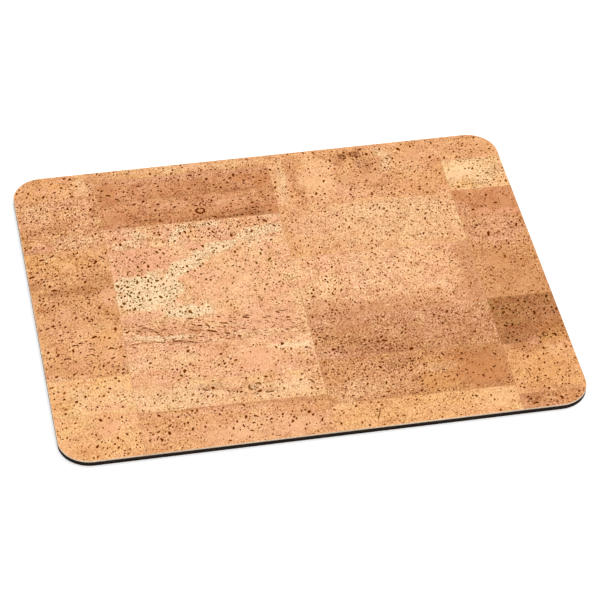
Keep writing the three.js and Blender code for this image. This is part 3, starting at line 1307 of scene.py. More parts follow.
def leaf_b() -> Iterator[CorkStrip]:
    """Yields the strips left of the middle, from the back to the front."""
    yield CorkStrip(
        "b1", Bark.TAN, Pores(20, 0.6, 36, 2.0, slant=15, grain=0.6),
        patches=(
            Patch(90, 4, 40, 4, Stain.STRAW, 0.35), Patch(68, 5, 8, 3, Stain.OCHRE, 0.3),
            Patch(50, 5, 8, 4, Stain.CLAY, 0.35), Patch(92, 3, 5, 3, Stain.BLUSH, 0.4, grain=0.4),
            Patch(86, 8.8, 46, 2.2, Stain.CLAY, 0.6, soft=0.8),
        ),
        lone=(
            (44.4, 9), (54, 9.2), (78, 2), (87.4, 3), (94, 3), (101.6, 6.8), (109.6, 7.8), (123, 6.8),
            (85, 9),
        ),
    )
    # Red, paler at the back, with dark bands along its front
    yield CorkStrip(
        "b2", Bark.RUSSET, Pores(23, 0.64, 40, 2.2, slant=60, grain=0.72),
        patches=(
            Patch(90, 9.4, 46, 2.4, Stain.BLUSH, 0.5, soft=0.8),
            Patch(49.5, 16, 4.4, 5, Stain.EMBER, 0.45, grain=0.5),
            Patch(67.5, 16, 4, 2, Stain.BLUSH, 0.3, grain=0.6),
            Patch(93, 18, 4.4, 4, Stain.CHESTNUT, 0.5, soft=0.6, grain=0.7),
            Patch(93, 26.5, 5, 2.5, Stain.CHESTNUT, 0.55, soft=0.6),
            Patch(113, 15, 4, 3, Stain.EMBER, 0.5, grain=0.6),
            Patch(125, 17, 5, 6, Stain.EMBER, 0.45, grain=0.7),
            Patch(56, 24.4, 12, 1.1, Stain.WALNUT, 0.45, 1, soft=0.7),
            Patch(79, 25.2, 10, 1.2, Stain.WALNUT, 0.5, 2, soft=0.7),
            Patch(112, 24.6, 10, 1.1, Stain.WALNUT, 0.45, 4, soft=0.7),
            Patch(100, 22.4, 16, 0.6, Stain.WALNUT, 0.45, -3, soft=0.6),
        ),
        clusters=(
            Cluster(80, 12, 7, 3, 26, 0.75), Cluster(99, 27, 4, 1, 12, 0.75),
            Cluster(42.5, 18, 1.5, 8, 20, 0.75), Cluster(58, 21, 5, 5, 14, 0.7),
        ),
        streaks=(
            Streak(84.6, 10.4, 85.4, 8.8, 0.6), Streak(119.8, 27, 120.2, 24.8, 0.9),
            Streak(80, 13.8, 81.6, 12.6, 0.9),
        ),
        lone=(
            (74, 19.4), (74.8, 19.2), (65.1, 19), (76.3, 27), (106.8, 16), (119.3, 16.6), (121.8, 16.1),
            (101.9, 21), (112, 21.4), (127.2, 20.4), (128, 18.4), (120.4, 21.6), (55, 17), (60, 17.2),
            (75, 9.6), (60.4, 25),
        ),
    )
    # A ring of pore near its middle, and dark bands along its front
    yield CorkStrip(
        "b3", Bark.RUSSET, Pores(21, 0.62, 40, 2.2, slant=65, grain=0.72),
        patches=(
            Patch(57, 31.2, 3, 2, Stain.CLAY, 0.3, grain=0.2),
            Patch(48, 37, 5, 6, Stain.CLAY, 0.4, grain=0.6),
            Patch(78, 31, 9, 3, Stain.BLUSH, 0.35, 8, grain=0.7),
            Patch(106, 32, 12, 1.4, Stain.BLUSH, 0.4, 3, grain=0.6),
            Patch(104, 36, 6, 2.6, Stain.CLAY, 0.3, grain=0.4),
            Patch(91, 29, 4, 2.4, Stain.CHESTNUT, 0.4, soft=0.7),
            Patch(70, 36, 14, 0.7, Stain.WALNUT, 0.4, -4, soft=0.6),
            Patch(114, 39.4, 14, 0.8, Stain.WALNUT, 0.5, 2, soft=0.6),
            Patch(110, 43.4, 24, 1.7, Stain.WALNUT, 0.5, soft=0.7),
            Patch(66, 40.4, 6, 1, Stain.WALNUT, 0.45, soft=0.7),
            Patch(128, 42, 3, 3, Stain.EMBER, 0.5, grain=0.4),
            Patch(52, 43.8, 4, 0.9, Stain.WALNUT, 0.5, soft=0.7),
        ),
        clusters=(
            Cluster(58.5, 38.5, 3, 4, 26, 0.75), Cluster(52.5, 43.6, 4, 0.7, 12, 0.8),
            Cluster(120, 41.5, 7, 3, 34, 0.75), Cluster(106, 43.8, 22, 0.8, 60, 0.7),
            Cluster(121, 35, 5, 2.4, 18, 0.75), Cluster(66, 40.6, 5, 1, 10, 0.7),
            Cluster(91.5, 33.4, 2.6, 0.8, 9, 0.7),
        ),
        streaks=(
            Streak(88.4, 32.8, 90.2, 33.3, 1.5), Streak(91.4, 33.2, 92.3, 31.2, 1.1),
            Streak(92.6, 33.2, 94.8, 33.6, 1.4), Streak(120, 35.4, 129.6, 34.6, 0.45, slot=Slot.GROWTH),
        ),
        curls=(Curl(91, 37.3, 2.1, 1.9, 1.4, blunt=0.9),),
        lone=(
            (70, 42.2), (73.8, 41.4), (120, 36.2), (123.6, 35), (107, 34.4), (102, 40.6), (116, 44),
            (60, 40.8),
        ),
    )
    # Cream and pink drifts, thick with pores
    yield CorkStrip(
        "b4", Bark.PEACH, Pores(27, 0.62, 52, 2.4, slant=15, grain=0.75),
        patches=(
            Patch(66, 59.4, 4, 2.2, Stain.STRAW, 0.7, grain=0.25),
            Patch(77, 52, 8.5, 2, Stain.CREAM, 0.8, 55), Patch(50, 57, 7, 3, Stain.CREAM, 0.45),
            Patch(57, 52, 3, 4, Stain.CREAM, 0.5), Patch(96, 55, 9, 6, Stain.BLUSH, 0.5),
            Patch(117, 57, 12, 4, Stain.CREAM, 0.65, 12), Patch(93, 48, 7, 2, Stain.CREAM, 0.55),
            Patch(121, 48, 8, 2, Stain.BLUSH, 0.4), Patch(48, 48, 6, 3, Stain.BLUSH, 0.4),
        ),
        clusters=(
            Cluster(96, 54, 10, 5, 34, 0.85), Cluster(84, 56, 3, 4, 10, 0.9),
            Cluster(115, 53, 10, 5, 24, 0.8),
        ),
        streaks=(
            Streak(57.3, 52.4, 58, 50, 0.7), Streak(83, 47.4, 84.6, 46.6, 0.9),
            Streak(79.8, 60, 81.4, 61, 1.1),
        ),
        lone=(
            (98.8, 55.2), (99.6, 54.8), (85.4, 56.2), (86.6, 56.8), (88.6, 57.6), (109, 51.2), (116, 52),
            (123.6, 52.6),
        ),
    )
    # Pink at the back, and a cream drift, thick with pores, that bends down its left end
    yield CorkStrip(
        "b5", Bark.BISCUIT, Pores(12, 0.5, 42, 2.2, slant=15, grain=0.6),
        patches=(
            Patch(58, 70, 18, 9, Stain.PINK, 0.65, 8), Patch(59, 73.6, 3, 3, Stain.PINK, 0.5, grain=0.1),
            Patch(83, 64, 5, 4, Stain.PINK, 0.6), Patch(48, 87.5, 8, 7, Stain.CREAM, 0.85, soft=0.25),
            Patch(48, 98, 8, 6.5, Stain.CREAM, 0.8, soft=0.25),
            Patch(64, 87.5, 9, 7.5, Stain.CREAM, 0.85, soft=0.25),
            Patch(63, 98, 9, 7.5, Stain.CREAM, 0.85, soft=0.25),
            Patch(56, 92.5, 9, 12, Stain.CREAM, 0.8, soft=0.25),
            Patch(73, 78.5, 9, 4.6, Stain.CREAM, 0.9, 30), Patch(86, 70, 9, 4.4, Stain.CREAM, 0.85, 42),
            Patch(98, 63.6, 10, 4, Stain.CREAM, 0.8, 20), Patch(118, 61, 13, 4, Stain.CREAM, 0.5, 10),
            Patch(73, 109, 13, 4.4, Stain.CREAM, 0.9, soft=0.25),
            Patch(61, 96, 3.4, 3, Stain.CREAM, 0.3, grain=0.2),
            Patch(65, 87, 2.8, 3, Stain.BLUSH, 0.2, grain=0.1),
            Patch(51, 109.6, 10, 3, Stain.BLUSH, 0.75, 10),
            Patch(100, 92, 24, 16, Stain.BLUSH, 0.15, grain=0.75),
        ),
        clusters=(
            Cluster(49, 92, 9, 12, 110, 0.9), Cluster(47, 99, 6, 8, 36, 0.9), Cluster(58, 84, 8, 3, 24, 0.8),
            Cluster(64, 95, 8, 9, 44, 0.75), Cluster(42, 91, 0.7, 6, 12, 0.9),
            Cluster(66, 100, 5, 9, 24, 0.85), Cluster(56, 70, 17, 8, 46, 0.78),
            Cluster(74, 79, 7, 4, 20, 1.1), Cluster(72, 110, 9, 2.4, 34, 0.8),
            Cluster(100, 66, 22, 6, 44, 0.8), Cluster(116, 95, 12, 10, 40, 0.7),
            Cluster(120, 80, 9, 8, 26, 0.75),
        ),
        streaks=(
            Streak(55.3, 75.2, 55.8, 77.2, 0.9), Streak(108.6, 92, 109.2, 90.2, 0.6),
            Streak(82.4, 73.6, 86, 73.2, 0.9), Streak(118, 68.2, 118.6, 66.2, 0.5),
        ),
        lone=(
            (42, 68.4), (67.6, 80.4), (75.8, 77.6), (76.6, 78.6), (87.2, 88.8), (90, 86.2), (85.6, 88.2),
            (100.2, 80.2), (92.6, 81.4), (79.2, 101.4), (84, 78), (103.6, 65.2), (102.4, 62.4),
            (122.4, 64.8), (108.4, 104.6), (94, 96),
        ),
    )
    # Long pores that slant across, between pale and brown bands
    yield CorkStrip(
        "b6", Bark.PEACH, Pores(26, 0.5, 40, 4.2, slant=98, grain=0.7, scatter=16),
        patches=(
            Patch(58, 119, 20, 4.5, Stain.CLAY, 0.2, -8), Patch(88, 127, 20, 3, Stain.CLAY, 0.2, -12),
            Patch(58, 125.4, 14, 1.6, Stain.CREAM, 0.7, -7), Patch(108, 129, 18, 2, Stain.STRAW, 0.5, -5),
            Patch(88, 121, 16, 1.2, Stain.STRAW, 0.4, -8),
            Patch(112, 121, 18, 5, Stain.BLUSH, 0.5, grain=0.6),
            Patch(78, 131.4, 16, 0.9, Stain.STRAW, 0.5, -9),
            Patch(50, 127.4, 13, 0.55, Stain.CHESTNUT, 0.5, -3),
            Patch(70, 130.2, 13, 0.7, Stain.CHESTNUT, 0.55, -9),
            Patch(78, 124, 9, 0.6, Stain.CHESTNUT, 0.45, -13),
            Patch(52, 119.2, 10, 0.5, Stain.CHESTNUT, 0.4, -11),
            Patch(94, 131.4, 8, 0.5, Stain.CHESTNUT, 0.35, -6),
        ),
        clusters=(Cluster(47, 117, 6, 3, 12, 0.8), Cluster(72, 128, 8, 3, 16, 0.7)),
        streaks=(
            Streak(49.5, 117.6, 55.5, 119.4, 0.65, 0.3), Streak(57.8, 119.6, 61.4, 120.2, 0.75),
            Streak(71.4, 121.6, 75.2, 122.8, 1.0), Streak(79.4, 123.2, 84.6, 125.4, 1.15),
            Streak(62, 128.2, 67.4, 128.8, 1.1), Streak(69.2, 129.6, 72.6, 130.5, 0.9),
            Streak(73.4, 130.7, 79, 131.6, 0.95, 0.2), Streak(98.4, 115.8, 102.2, 116.8, 0.6),
            Streak(115.8, 115, 120, 116.6, 0.7), Streak(109.8, 126.8, 112.8, 125.2, 0.7),
            Streak(57.6, 114.4, 60.8, 115, 0.6),
        ),
        lone=((47, 114.2), (46.6, 121), (65.2, 119), (94.4, 129.8), (85.2, 131.6), (92, 119.4), (88.5, 122)),
    )
    yield CorkStrip(
        "b7", Bark.PEACH, Pores(13, 0.49, 44, 2.0, slant=25, grain=0.58),
        patches=(
            Patch(60, 140, 16, 6, Stain.STRAW, 0.4), Patch(100, 148, 8, 9, Stain.PINK, 0.5, grain=0.5),
            Patch(117, 139.5, 12, 2.4, Stain.CREAM, 0.7, -5, grain=0.6),
            Patch(64, 133.4, 5, 2, Stain.PINK, 0.5), Patch(88, 135.4, 16, 0.8, Stain.CLAY, 0.5, -12),
            Patch(120, 151, 9, 5, Stain.CLAY, 0.25),
        ),
        clusters=(
            Cluster(70, 136, 3, 2, 10, 0.7), Cluster(62, 148, 8, 5, 20, 0.75),
            Cluster(80, 148, 4, 4, 10, 0.7),
        ),
        lone=(
            (51, 131), (71, 136.8), (99.8, 137), (101, 136.6), (66.6, 154.4), (66.8, 155.2), (59.2, 147),
            (64.8, 149.2), (41.4, 145), (77.2, 157), (113.6, 138.6), (122.4, 127), (49.4, 141.2),
            (61.6, 147.6),
        ),
    )
    # Cream, with weathered arcs and short upright streaks
    yield CorkStrip(
        "b8", Bark.BUFF, Pores(16, 0.52, 40, 2.2, slant=40, grain=0.55),
        patches=(
            Patch(60, 165, 24, 7, Stain.CREAM, 0.35, soft=0.6),
            Patch(114, 167, 9, 5, Stain.CREAM, 0.4, soft=0.6, grain=0.8),
            Patch(100, 168, 8, 5, Stain.STRAW, 0.5), Patch(95, 164.5, 3.4, 3, Stain.SMOKE, 0.5, soft=0.6),
            Patch(74, 161, 9, 1.6, Stain.SMOKE, 0.3, 4, soft=0.7),
            Patch(79, 163.6, 9, 1.1, Stain.CLAY, 0.5, -8), Patch(90, 163, 5, 0.7, Stain.CLAY, 0.5, 35),
            Patch(101, 168.2, 5, 0.9, Stain.CLAY, 0.5, 6), Patch(122.4, 166, 0.9, 4, Stain.CLAY, 0.5, 12),
        ),
        clusters=(
            Cluster(96, 165.5, 3.4, 3, 16, 0.65), Cluster(124, 169, 2, 5, 22, 0.7),
            Cluster(74, 162, 6, 2, 16, 0.65), Cluster(100, 168.6, 5, 1.6, 12, 0.65),
            Cluster(88, 167, 3, 3, 12, 0.7),
        ),
        streaks=(
            Streak(93.4, 162.6, 94.6, 167, 1.3, -1.2, slot=Slot.GROWTH), Streak(95.8, 168.9, 98.4, 167, 1.3),
            Streak(102.6, 166.4, 102.6, 164.6, 0.7), Streak(121.2, 168.8, 121.9, 171.2, 0.9),
            Streak(127.4, 169.4, 128, 171.8, 1.1), Streak(69.2, 163.4, 69.5, 161.2, 0.9),
            Streak(72.4, 168.8, 73, 166.4, 0.9), Streak(74.8, 168.8, 75.4, 166.6, 0.9),
            Streak(43, 169.6, 43.2, 166.4, 0.6), Streak(47, 169, 48, 166.8, 0.7),
        ),
        curls=(
            Curl(96.8, 164, 1.6, 1.4, 1.2, -20, 150, slot=Slot.GROWTH),
            Curl(101.6, 167.8, 2.6, 1.5, 1.1, 215, 120, slot=Slot.GROWTH),
            Curl(117.4, 168.5, 6.3, 5.4, 1.1, 14, 45, slot=Slot.GROWTH),
            Curl(73.6, 161.2, 2.3, 2.4, 1.1, 185, 110, slot=Slot.GROWTH),
        ),
        lone=(
            (126.6, 161), (98, 159.6), (101.6, 159.4), (84.6, 172), (76.8, 157.8), (43, 163), (47.4, 168.4),
        ),
    )
    # A dark back edge, and two arcs of large pores near its right end
    yield CorkStrip(
        "b9", Bark.AMBER, Pores(15, 0.58, 40, 2.2, slant=30, grain=0.6),
        patches=(
            Patch(115, 176.4, 13, 2, Stain.CHESTNUT, 0.5, soft=0.6, grain=0.6),
            Patch(74, 174.8, 32, 1, Stain.CHESTNUT, 0.45, -1, soft=0.7),
            Patch(78, 177.4, 28, 1.4, Stain.BLUSH, 0.4),
            Patch(85, 192, 4, 5, Stain.STRAW, 0.2, soft=0.6, grain=0.5),
            Patch(90, 192, 40, 8, Stain.PINK, 0.3, grain=0.7),
            Patch(100, 192, 26, 7, Stain.STRAW, 0.3, soft=0.6),
            Patch(108, 193, 6, 3, Stain.PINK, 0.3, grain=0.6), Patch(56, 196, 14, 3, Stain.OCHRE, 0.2),
        ),
        clusters=(
            Cluster(76, 179, 16, 3, 30, 0.75), Cluster(58, 183, 8, 6, 16, 0.75),
            Cluster(42, 184, 1.2, 8, 16, 0.75),
        ),
        streaks=(
            Streak(121.6, 192.6, 122.8, 189.8, 1.0), Streak(80.6, 191.2, 81.2, 188.6, 0.9),
            Streak(87.4, 184.8, 87.9, 182.2, 1.3), Streak(51.2, 184.6, 53.4, 182.6, 1.0),
            Streak(126.6, 188.4, 129.6, 188.4, 0.9, 1), Streak(44.8, 192, 46.2, 189, 0.8),
            Streak(47.4, 175.4, 49.4, 177, 1.3),
        ),
        lone=(
            (103, 186.2), (104.6, 184.4), (106.2, 183.6), (108.4, 185.4), (109.6, 187.2), (110.4, 188.4),
            (113.6, 184), (115.6, 183.6), (117.2, 185), (118.4, 187), (119.2, 188.6), (83, 186),
            (84.2, 185.4), (95.2, 182.6), (96.6, 183.4), (46.2, 186.4), (68, 186.8), (60.6, 182.8),
            (65, 177.4), (99, 189), (51.8, 188),
        ),
    )


def leaf_c() -> Iterator[CorkStrip]:
    """Yields the strips right of the middle, from the back to the front."""
    # A pale streak at its left end, and dark clumps at the back
    yield CorkStrip(
        "c1", Bark.AMBER, Pores(15, 0.58, 40, 2.2, slant=10, grain=0.66),
        patches=(
            Patch(154, 22, 10, 19, Stain.STRAW, 0.35, grain=0.55),
            Patch(135, 19, 3.4, 19, Stain.STRAW, 0.4, -3, soft=0.6),
            Patch(136.2, 24, 1.8, 14, Stain.CREAM, 0.25, -6, soft=0.7),
            Patch(141.6, 19, 2.4, 16, Stain.CLAY, 0.55, 5, soft=0.7),
            Patch(160, 6.8, 5.4, 0.7, Stain.CHESTNUT, 0.5, -49),
            Patch(165.4, 24, 0.8, 9, Stain.CHESTNUT, 0.3, 3),
            Patch(154, 43, 6, 0.6, Stain.CHESTNUT, 0.4, 22),
            Patch(139, 39, 7, 0.7, Stain.CHESTNUT, 0.35, 20),
            Patch(175, 7, 9, 3, Stain.CHESTNUT, 0.25, soft=0.7),
            Patch(169.6, 6.8, 2.4, 1.7, Stain.WALNUT, 0.25, soft=0.5),
            Patch(176.2, 6.6, 2.8, 2.4, Stain.WALNUT, 0.25, soft=0.5),
            Patch(181, 16.2, 2.6, 1.8, Stain.WALNUT, 0.3, soft=0.6),
            Patch(171.1, 4.5, 0.6, 0.7, Stain.COCOA, 0.75),
            Patch(169.2, 6.8, 1.3, 0.9, Stain.COCOA, 0.75, 20),
            Patch(168.1, 7.9, 0.7, 0.6, Stain.COCOA, 0.7), Patch(171, 7.7, 0.8, 0.6, Stain.COCOA, 0.7, 30),
            Patch(174.4, 6.5, 0.8, 1.2, Stain.COCOA, 0.75, -15),
            Patch(176.8, 5.5, 1.2, 0.8, Stain.COCOA, 0.75, 25),
            Patch(176.1, 7.9, 1.4, 0.6, Stain.COCOA, 0.75, 10), Patch(178, 7.7, 0.6, 0.7, Stain.COCOA, 0.7),
            Patch(180.9, 7.6, 1.2, 0.45, Stain.COCOA, 0.7, 8),
            Patch(180.4, 16.3, 1.1, 0.6, Stain.COCOA, 0.65, 30),
            Patch(182, 16.2, 0.5, 0.8, Stain.COCOA, 0.7), Patch(188.5, 7, 5, 4, Stain.CREAM, 0.35, soft=0.6),
            Patch(191, 16, 3, 6, Stain.CREAM, 0.4, -12, soft=0.6),
            Patch(169, 23, 6, 6, Stain.CLAY, 0.25, soft=0.7),
            Patch(167, 10.5, 3, 3.4, Stain.CHESTNUT, 0.5, soft=0.6),
            Patch(181, 16, 8, 6, Stain.CLAY, 0.55, soft=0.7),
            Patch(178, 13, 4, 3, Stain.SMOKE, 0.4, soft=0.7),
            Patch(182.6, 32, 5, 1.4, Stain.CHESTNUT, 0.5, 12, soft=0.6),
            Patch(185, 27, 8, 4, Stain.CLAY, 0.4, soft=0.6),
            Patch(168.5, 25, 2.4, 3, Stain.SMOKE, 0.3, soft=0.6, grain=0.2),
            Patch(183, 27, 3, 3, Stain.BLUSH, 0.15, soft=0.6, grain=0.3),
            Patch(169, 34, 7, 6, Stain.BLUSH, 0.5), Patch(202, 21, 6, 5, Stain.STRAW, 0.35, soft=0.6),
            Patch(208, 24, 9, 18, Stain.CLAY, 0.2, grain=0.7),
            Patch(206, 10, 3, 4, Stain.CLAY, 0.2, soft=0.6, grain=0.4),
        ),
        clusters=(
            Cluster(169.7, 6.8, 2.2, 1.8, 160, 0.65), Cluster(176.1, 6.6, 2.8, 2.6, 220, 0.65),
            Cluster(181, 7.5, 1.5, 0.7, 40, 0.7), Cluster(181.2, 16.3, 1.8, 1.3, 60, 0.75),
            Cluster(181, 19, 8, 7, 60, 0.6), Cluster(142, 18, 2, 12, 34, 0.65),
            Cluster(186.5, 38, 4, 5, 26, 0.85), Cluster(198, 24, 12, 10, 50, 0.6),
            Cluster(156, 41, 12, 3, 20, 0.6), Cluster(194, 18, 6, 6, 26, 0.65),
            Cluster(170, 36, 5, 4, 10, 0.75), Cluster(131.6, 32, 1, 7, 12, 0.75),
        ),
        streaks=(
            Streak(169.9, 7.6, 171.4, 6.4, 1.1), Streak(170.8, 5.2, 171.8, 3.8, 1.1),
            Streak(173.6, 7.2, 174.8, 5.8, 1.2), Streak(176, 9.4, 178.2, 8.6, 1.1),
            Streak(180.2, 16.8, 181.8, 15.6, 1.2), Streak(189.8, 5.6, 190.2, 3.2, 1.2),
            Streak(217.2, 5.4, 217.6, 2.2, 0.9), Streak(141.4, 12.6, 141.8, 9.6, 0.8),
            Streak(195.6, 26, 197.2, 24.6, 0.8), Streak(204, 43.8, 206, 45, 1.1),
            Streak(147, 44.8, 147.2, 42.4, 1.1), Streak(130.6, 31.6, 132, 33.8, 0.9),
            Streak(135, 33, 135.6, 30.4, 0.7), Streak(197.9, 17.4, 198.1, 15.6, 1.3),
            Streak(189.4, 20.4, 189.9, 18.2, 1.0),
        ),
        lone=(
            (136, 11.6), (137, 26.2), (137.4, 28.6), (150.4, 14), (150.8, 17), (161.6, 21.2), (155.2, 31),
            (155.2, 34.6), (143.4, 35), (147, 43.4), (168.4, 19.2), (186, 14.6), (184.2, 19.8), (189.4, 26),
            (180.4, 36.8), (187.6, 34.8), (187.2, 40.2), (177.4, 43), (197.8, 16.4), (207, 20.6),
            (210, 14.6), (202, 2.8), (204.8, 44.2), (207.8, 35.4),
        ),
    )
    yield CorkStrip(
        "c2", Bark.AMBER, Pores(10, 0.45, 46, 2.4, slant=10, grain=0.6),
        patches=(
            Patch(186, 58, 44, 24, Stain.STRAW, 0.6, soft=0.6), Patch(146, 56, 14, 9, Stain.BLUSH, 0.4),
            Patch(176, 50, 12, 5, Stain.STRAW, 0.4),
        ),
        clusters=(Cluster(182, 48, 8, 3, 12, 0.75), Cluster(204, 54, 10, 6, 20, 0.7)),
        lone=((133.6, 59), (190.4, 47.4), (178, 50.4), (212, 50.6), (158, 52)),
    )
    yield CorkStrip(
        "c3", Bark.PEACH, Pores(11, 0.46, 46, 2.3, slant=6, grain=0.62),
        patches=(
            # The clay patch at its right end is partly painted shadow over that end, and partly blends it
            # into d4's tone
            Patch(214, 100, 6, 28, Stain.CLAY, 0.7, soft=0.5),
            Patch(142, 122, 22, 12, Stain.CLAY, 0.4, soft=0.7),
            Patch(174, 128, 50, 12, Stain.CLAY, 0.75, soft=0.8), Patch(170, 95, 26, 16, Stain.STRAW, 0.3),
        ),
        clusters=(Cluster(142, 122, 10, 5, 44, 0.8), Cluster(134, 110, 4, 10, 24, 0.7)),
        curls=(Curl(136.5, 124.3, 1.5, 1.0, 0.6, slot=Slot.GROWTH),),
        lone=((146, 125.6), (148, 126.4), (131, 122.6), (132.4, 106)),
    )
    # Thick with pores over its left half
    yield CorkStrip(
        "c4", Bark.UMBER, Pores(22, 0.54, 56, 2.2, slant=55, grain=0.85, scatter=60),
        patches=(
            Patch(149, 132, 9, 6, Stain.EMBER, 0.45, grain=0.8),
            Patch(135, 150, 7, 4, Stain.BLUSH, 0.5, grain=0.7), Patch(152, 144, 8, 4, Stain.CHESTNUT, 0.4),
            Patch(168, 152, 12, 4, Stain.CHESTNUT, 0.3), Patch(190, 142, 26, 9, Stain.CLAY, 0.3),
            Patch(174, 124, 50, 8, Stain.BLUSH, 0.35, soft=0.8),
        ),
        clusters=(
            Cluster(152, 143.5, 4.4, 2, 70, 1.0), Cluster(160, 149, 9, 5, 80, 0.85),
            Cluster(160, 149, 10, 6, 150, 0.55), Cluster(140, 148, 5, 2, 30, 0.7),
            Cluster(135, 138, 6, 2, 60, 0.75), Cluster(133, 131, 3, 3, 34, 0.7),
            Cluster(168, 152, 5, 2.4, 60, 0.7),
        ),
        lone=((151, 144), (152, 144.4), (154.6, 143.4), (138, 137.4), (134, 132), (170.2, 154), (140, 149)),
    )
    # Crowded along its back, and plain and red at its right end
    yield CorkStrip(
        "c5", Bark.RUST, Pores(17, 0.5, 50, 2.2, slant=60, grain=0.8, scatter=60),
        patches=(
            Patch(203, 171, 15, 12, Stain.EMBER, 0.8, soft=0.6, grain=0.45),
            Patch(206, 158, 12, 5, Stain.CHESTNUT, 0.3, soft=0.7),
            Patch(192, 164, 9, 6, Stain.EMBER, 0.4, soft=0.7),
            Patch(163, 161, 8, 4.5, Stain.CHESTNUT, 0.3, soft=0.7),
            Patch(177, 164, 8, 5, Stain.OCHRE, 0.35, soft=0.7),
            Patch(138, 161, 10, 6, Stain.OCHRE, 0.4, soft=0.7), Patch(146, 170, 26, 13, Stain.BLUSH, 0.35),
            Patch(144, 172, 20, 10, Stain.OCHRE, 0.35), Patch(142, 174, 16, 7, Stain.STRAW, 0.4, soft=0.6),
            Patch(182, 175, 9, 6, Stain.OCHRE, 0.4, grain=0.6), Patch(182, 166, 9, 3, Stain.STRAW, 0.3),
            Patch(134, 170, 4, 8, Stain.EMBER, 0.25), Patch(208, 181, 9, 2, Stain.CHESTNUT, 0.4),
        ),
        clusters=(
            Cluster(163, 161, 11, 4.5, 90, 0.8), Cluster(164, 161, 12, 5, 240, 0.52),
            Cluster(146, 161, 12, 5, 40, 0.75), Cluster(146, 161, 12, 5, 90, 0.5),
            Cluster(171, 160, 4, 3, 60, 0.65), Cluster(172, 180, 2, 1.2, 8, 0.85),
            Cluster(195, 171, 3, 1.6, 14, 0.65), Cluster(186, 180.6, 4, 1, 8, 0.7),
            Cluster(143, 180, 5, 1.6, 10, 0.75), Cluster(214.6, 178, 1.2, 3, 10, 0.75),
        ),
        lone=(
            (172, 180), (172.4, 178.8), (149, 182), (178.6, 171.2), (128.4, 171), (140.4, 181.2),
            (196, 172.6),
        ),
    )
    yield CorkStrip(
        "c6", Bark.HONEY, Pores(12, 0.5, 38, 2.0, slant=30, grain=0.58),
        patches=(
            Patch(172, 191, 46, 9, Stain.OCHRE, 0.3), Patch(205, 190, 12, 6, Stain.STRAW, 0.3, grain=0.6),
            Patch(150, 189, 4, 3, Stain.CLAY, 0.3),
        ),
        clusters=(
            Cluster(131, 188.6, 2, 1.6, 14, 0.7), Cluster(149.4, 188.4, 2, 1.6, 10, 0.7),
            Cluster(137, 190.6, 1.4, 1, 5, 0.7),
        ),
        streaks=(Streak(150, 188.6, 147.6, 195.4, 0.7, 0.3),),
        lone=((174, 186.6), (188.6, 194.6), (168, 185.4), (185, 184.6)),
    )


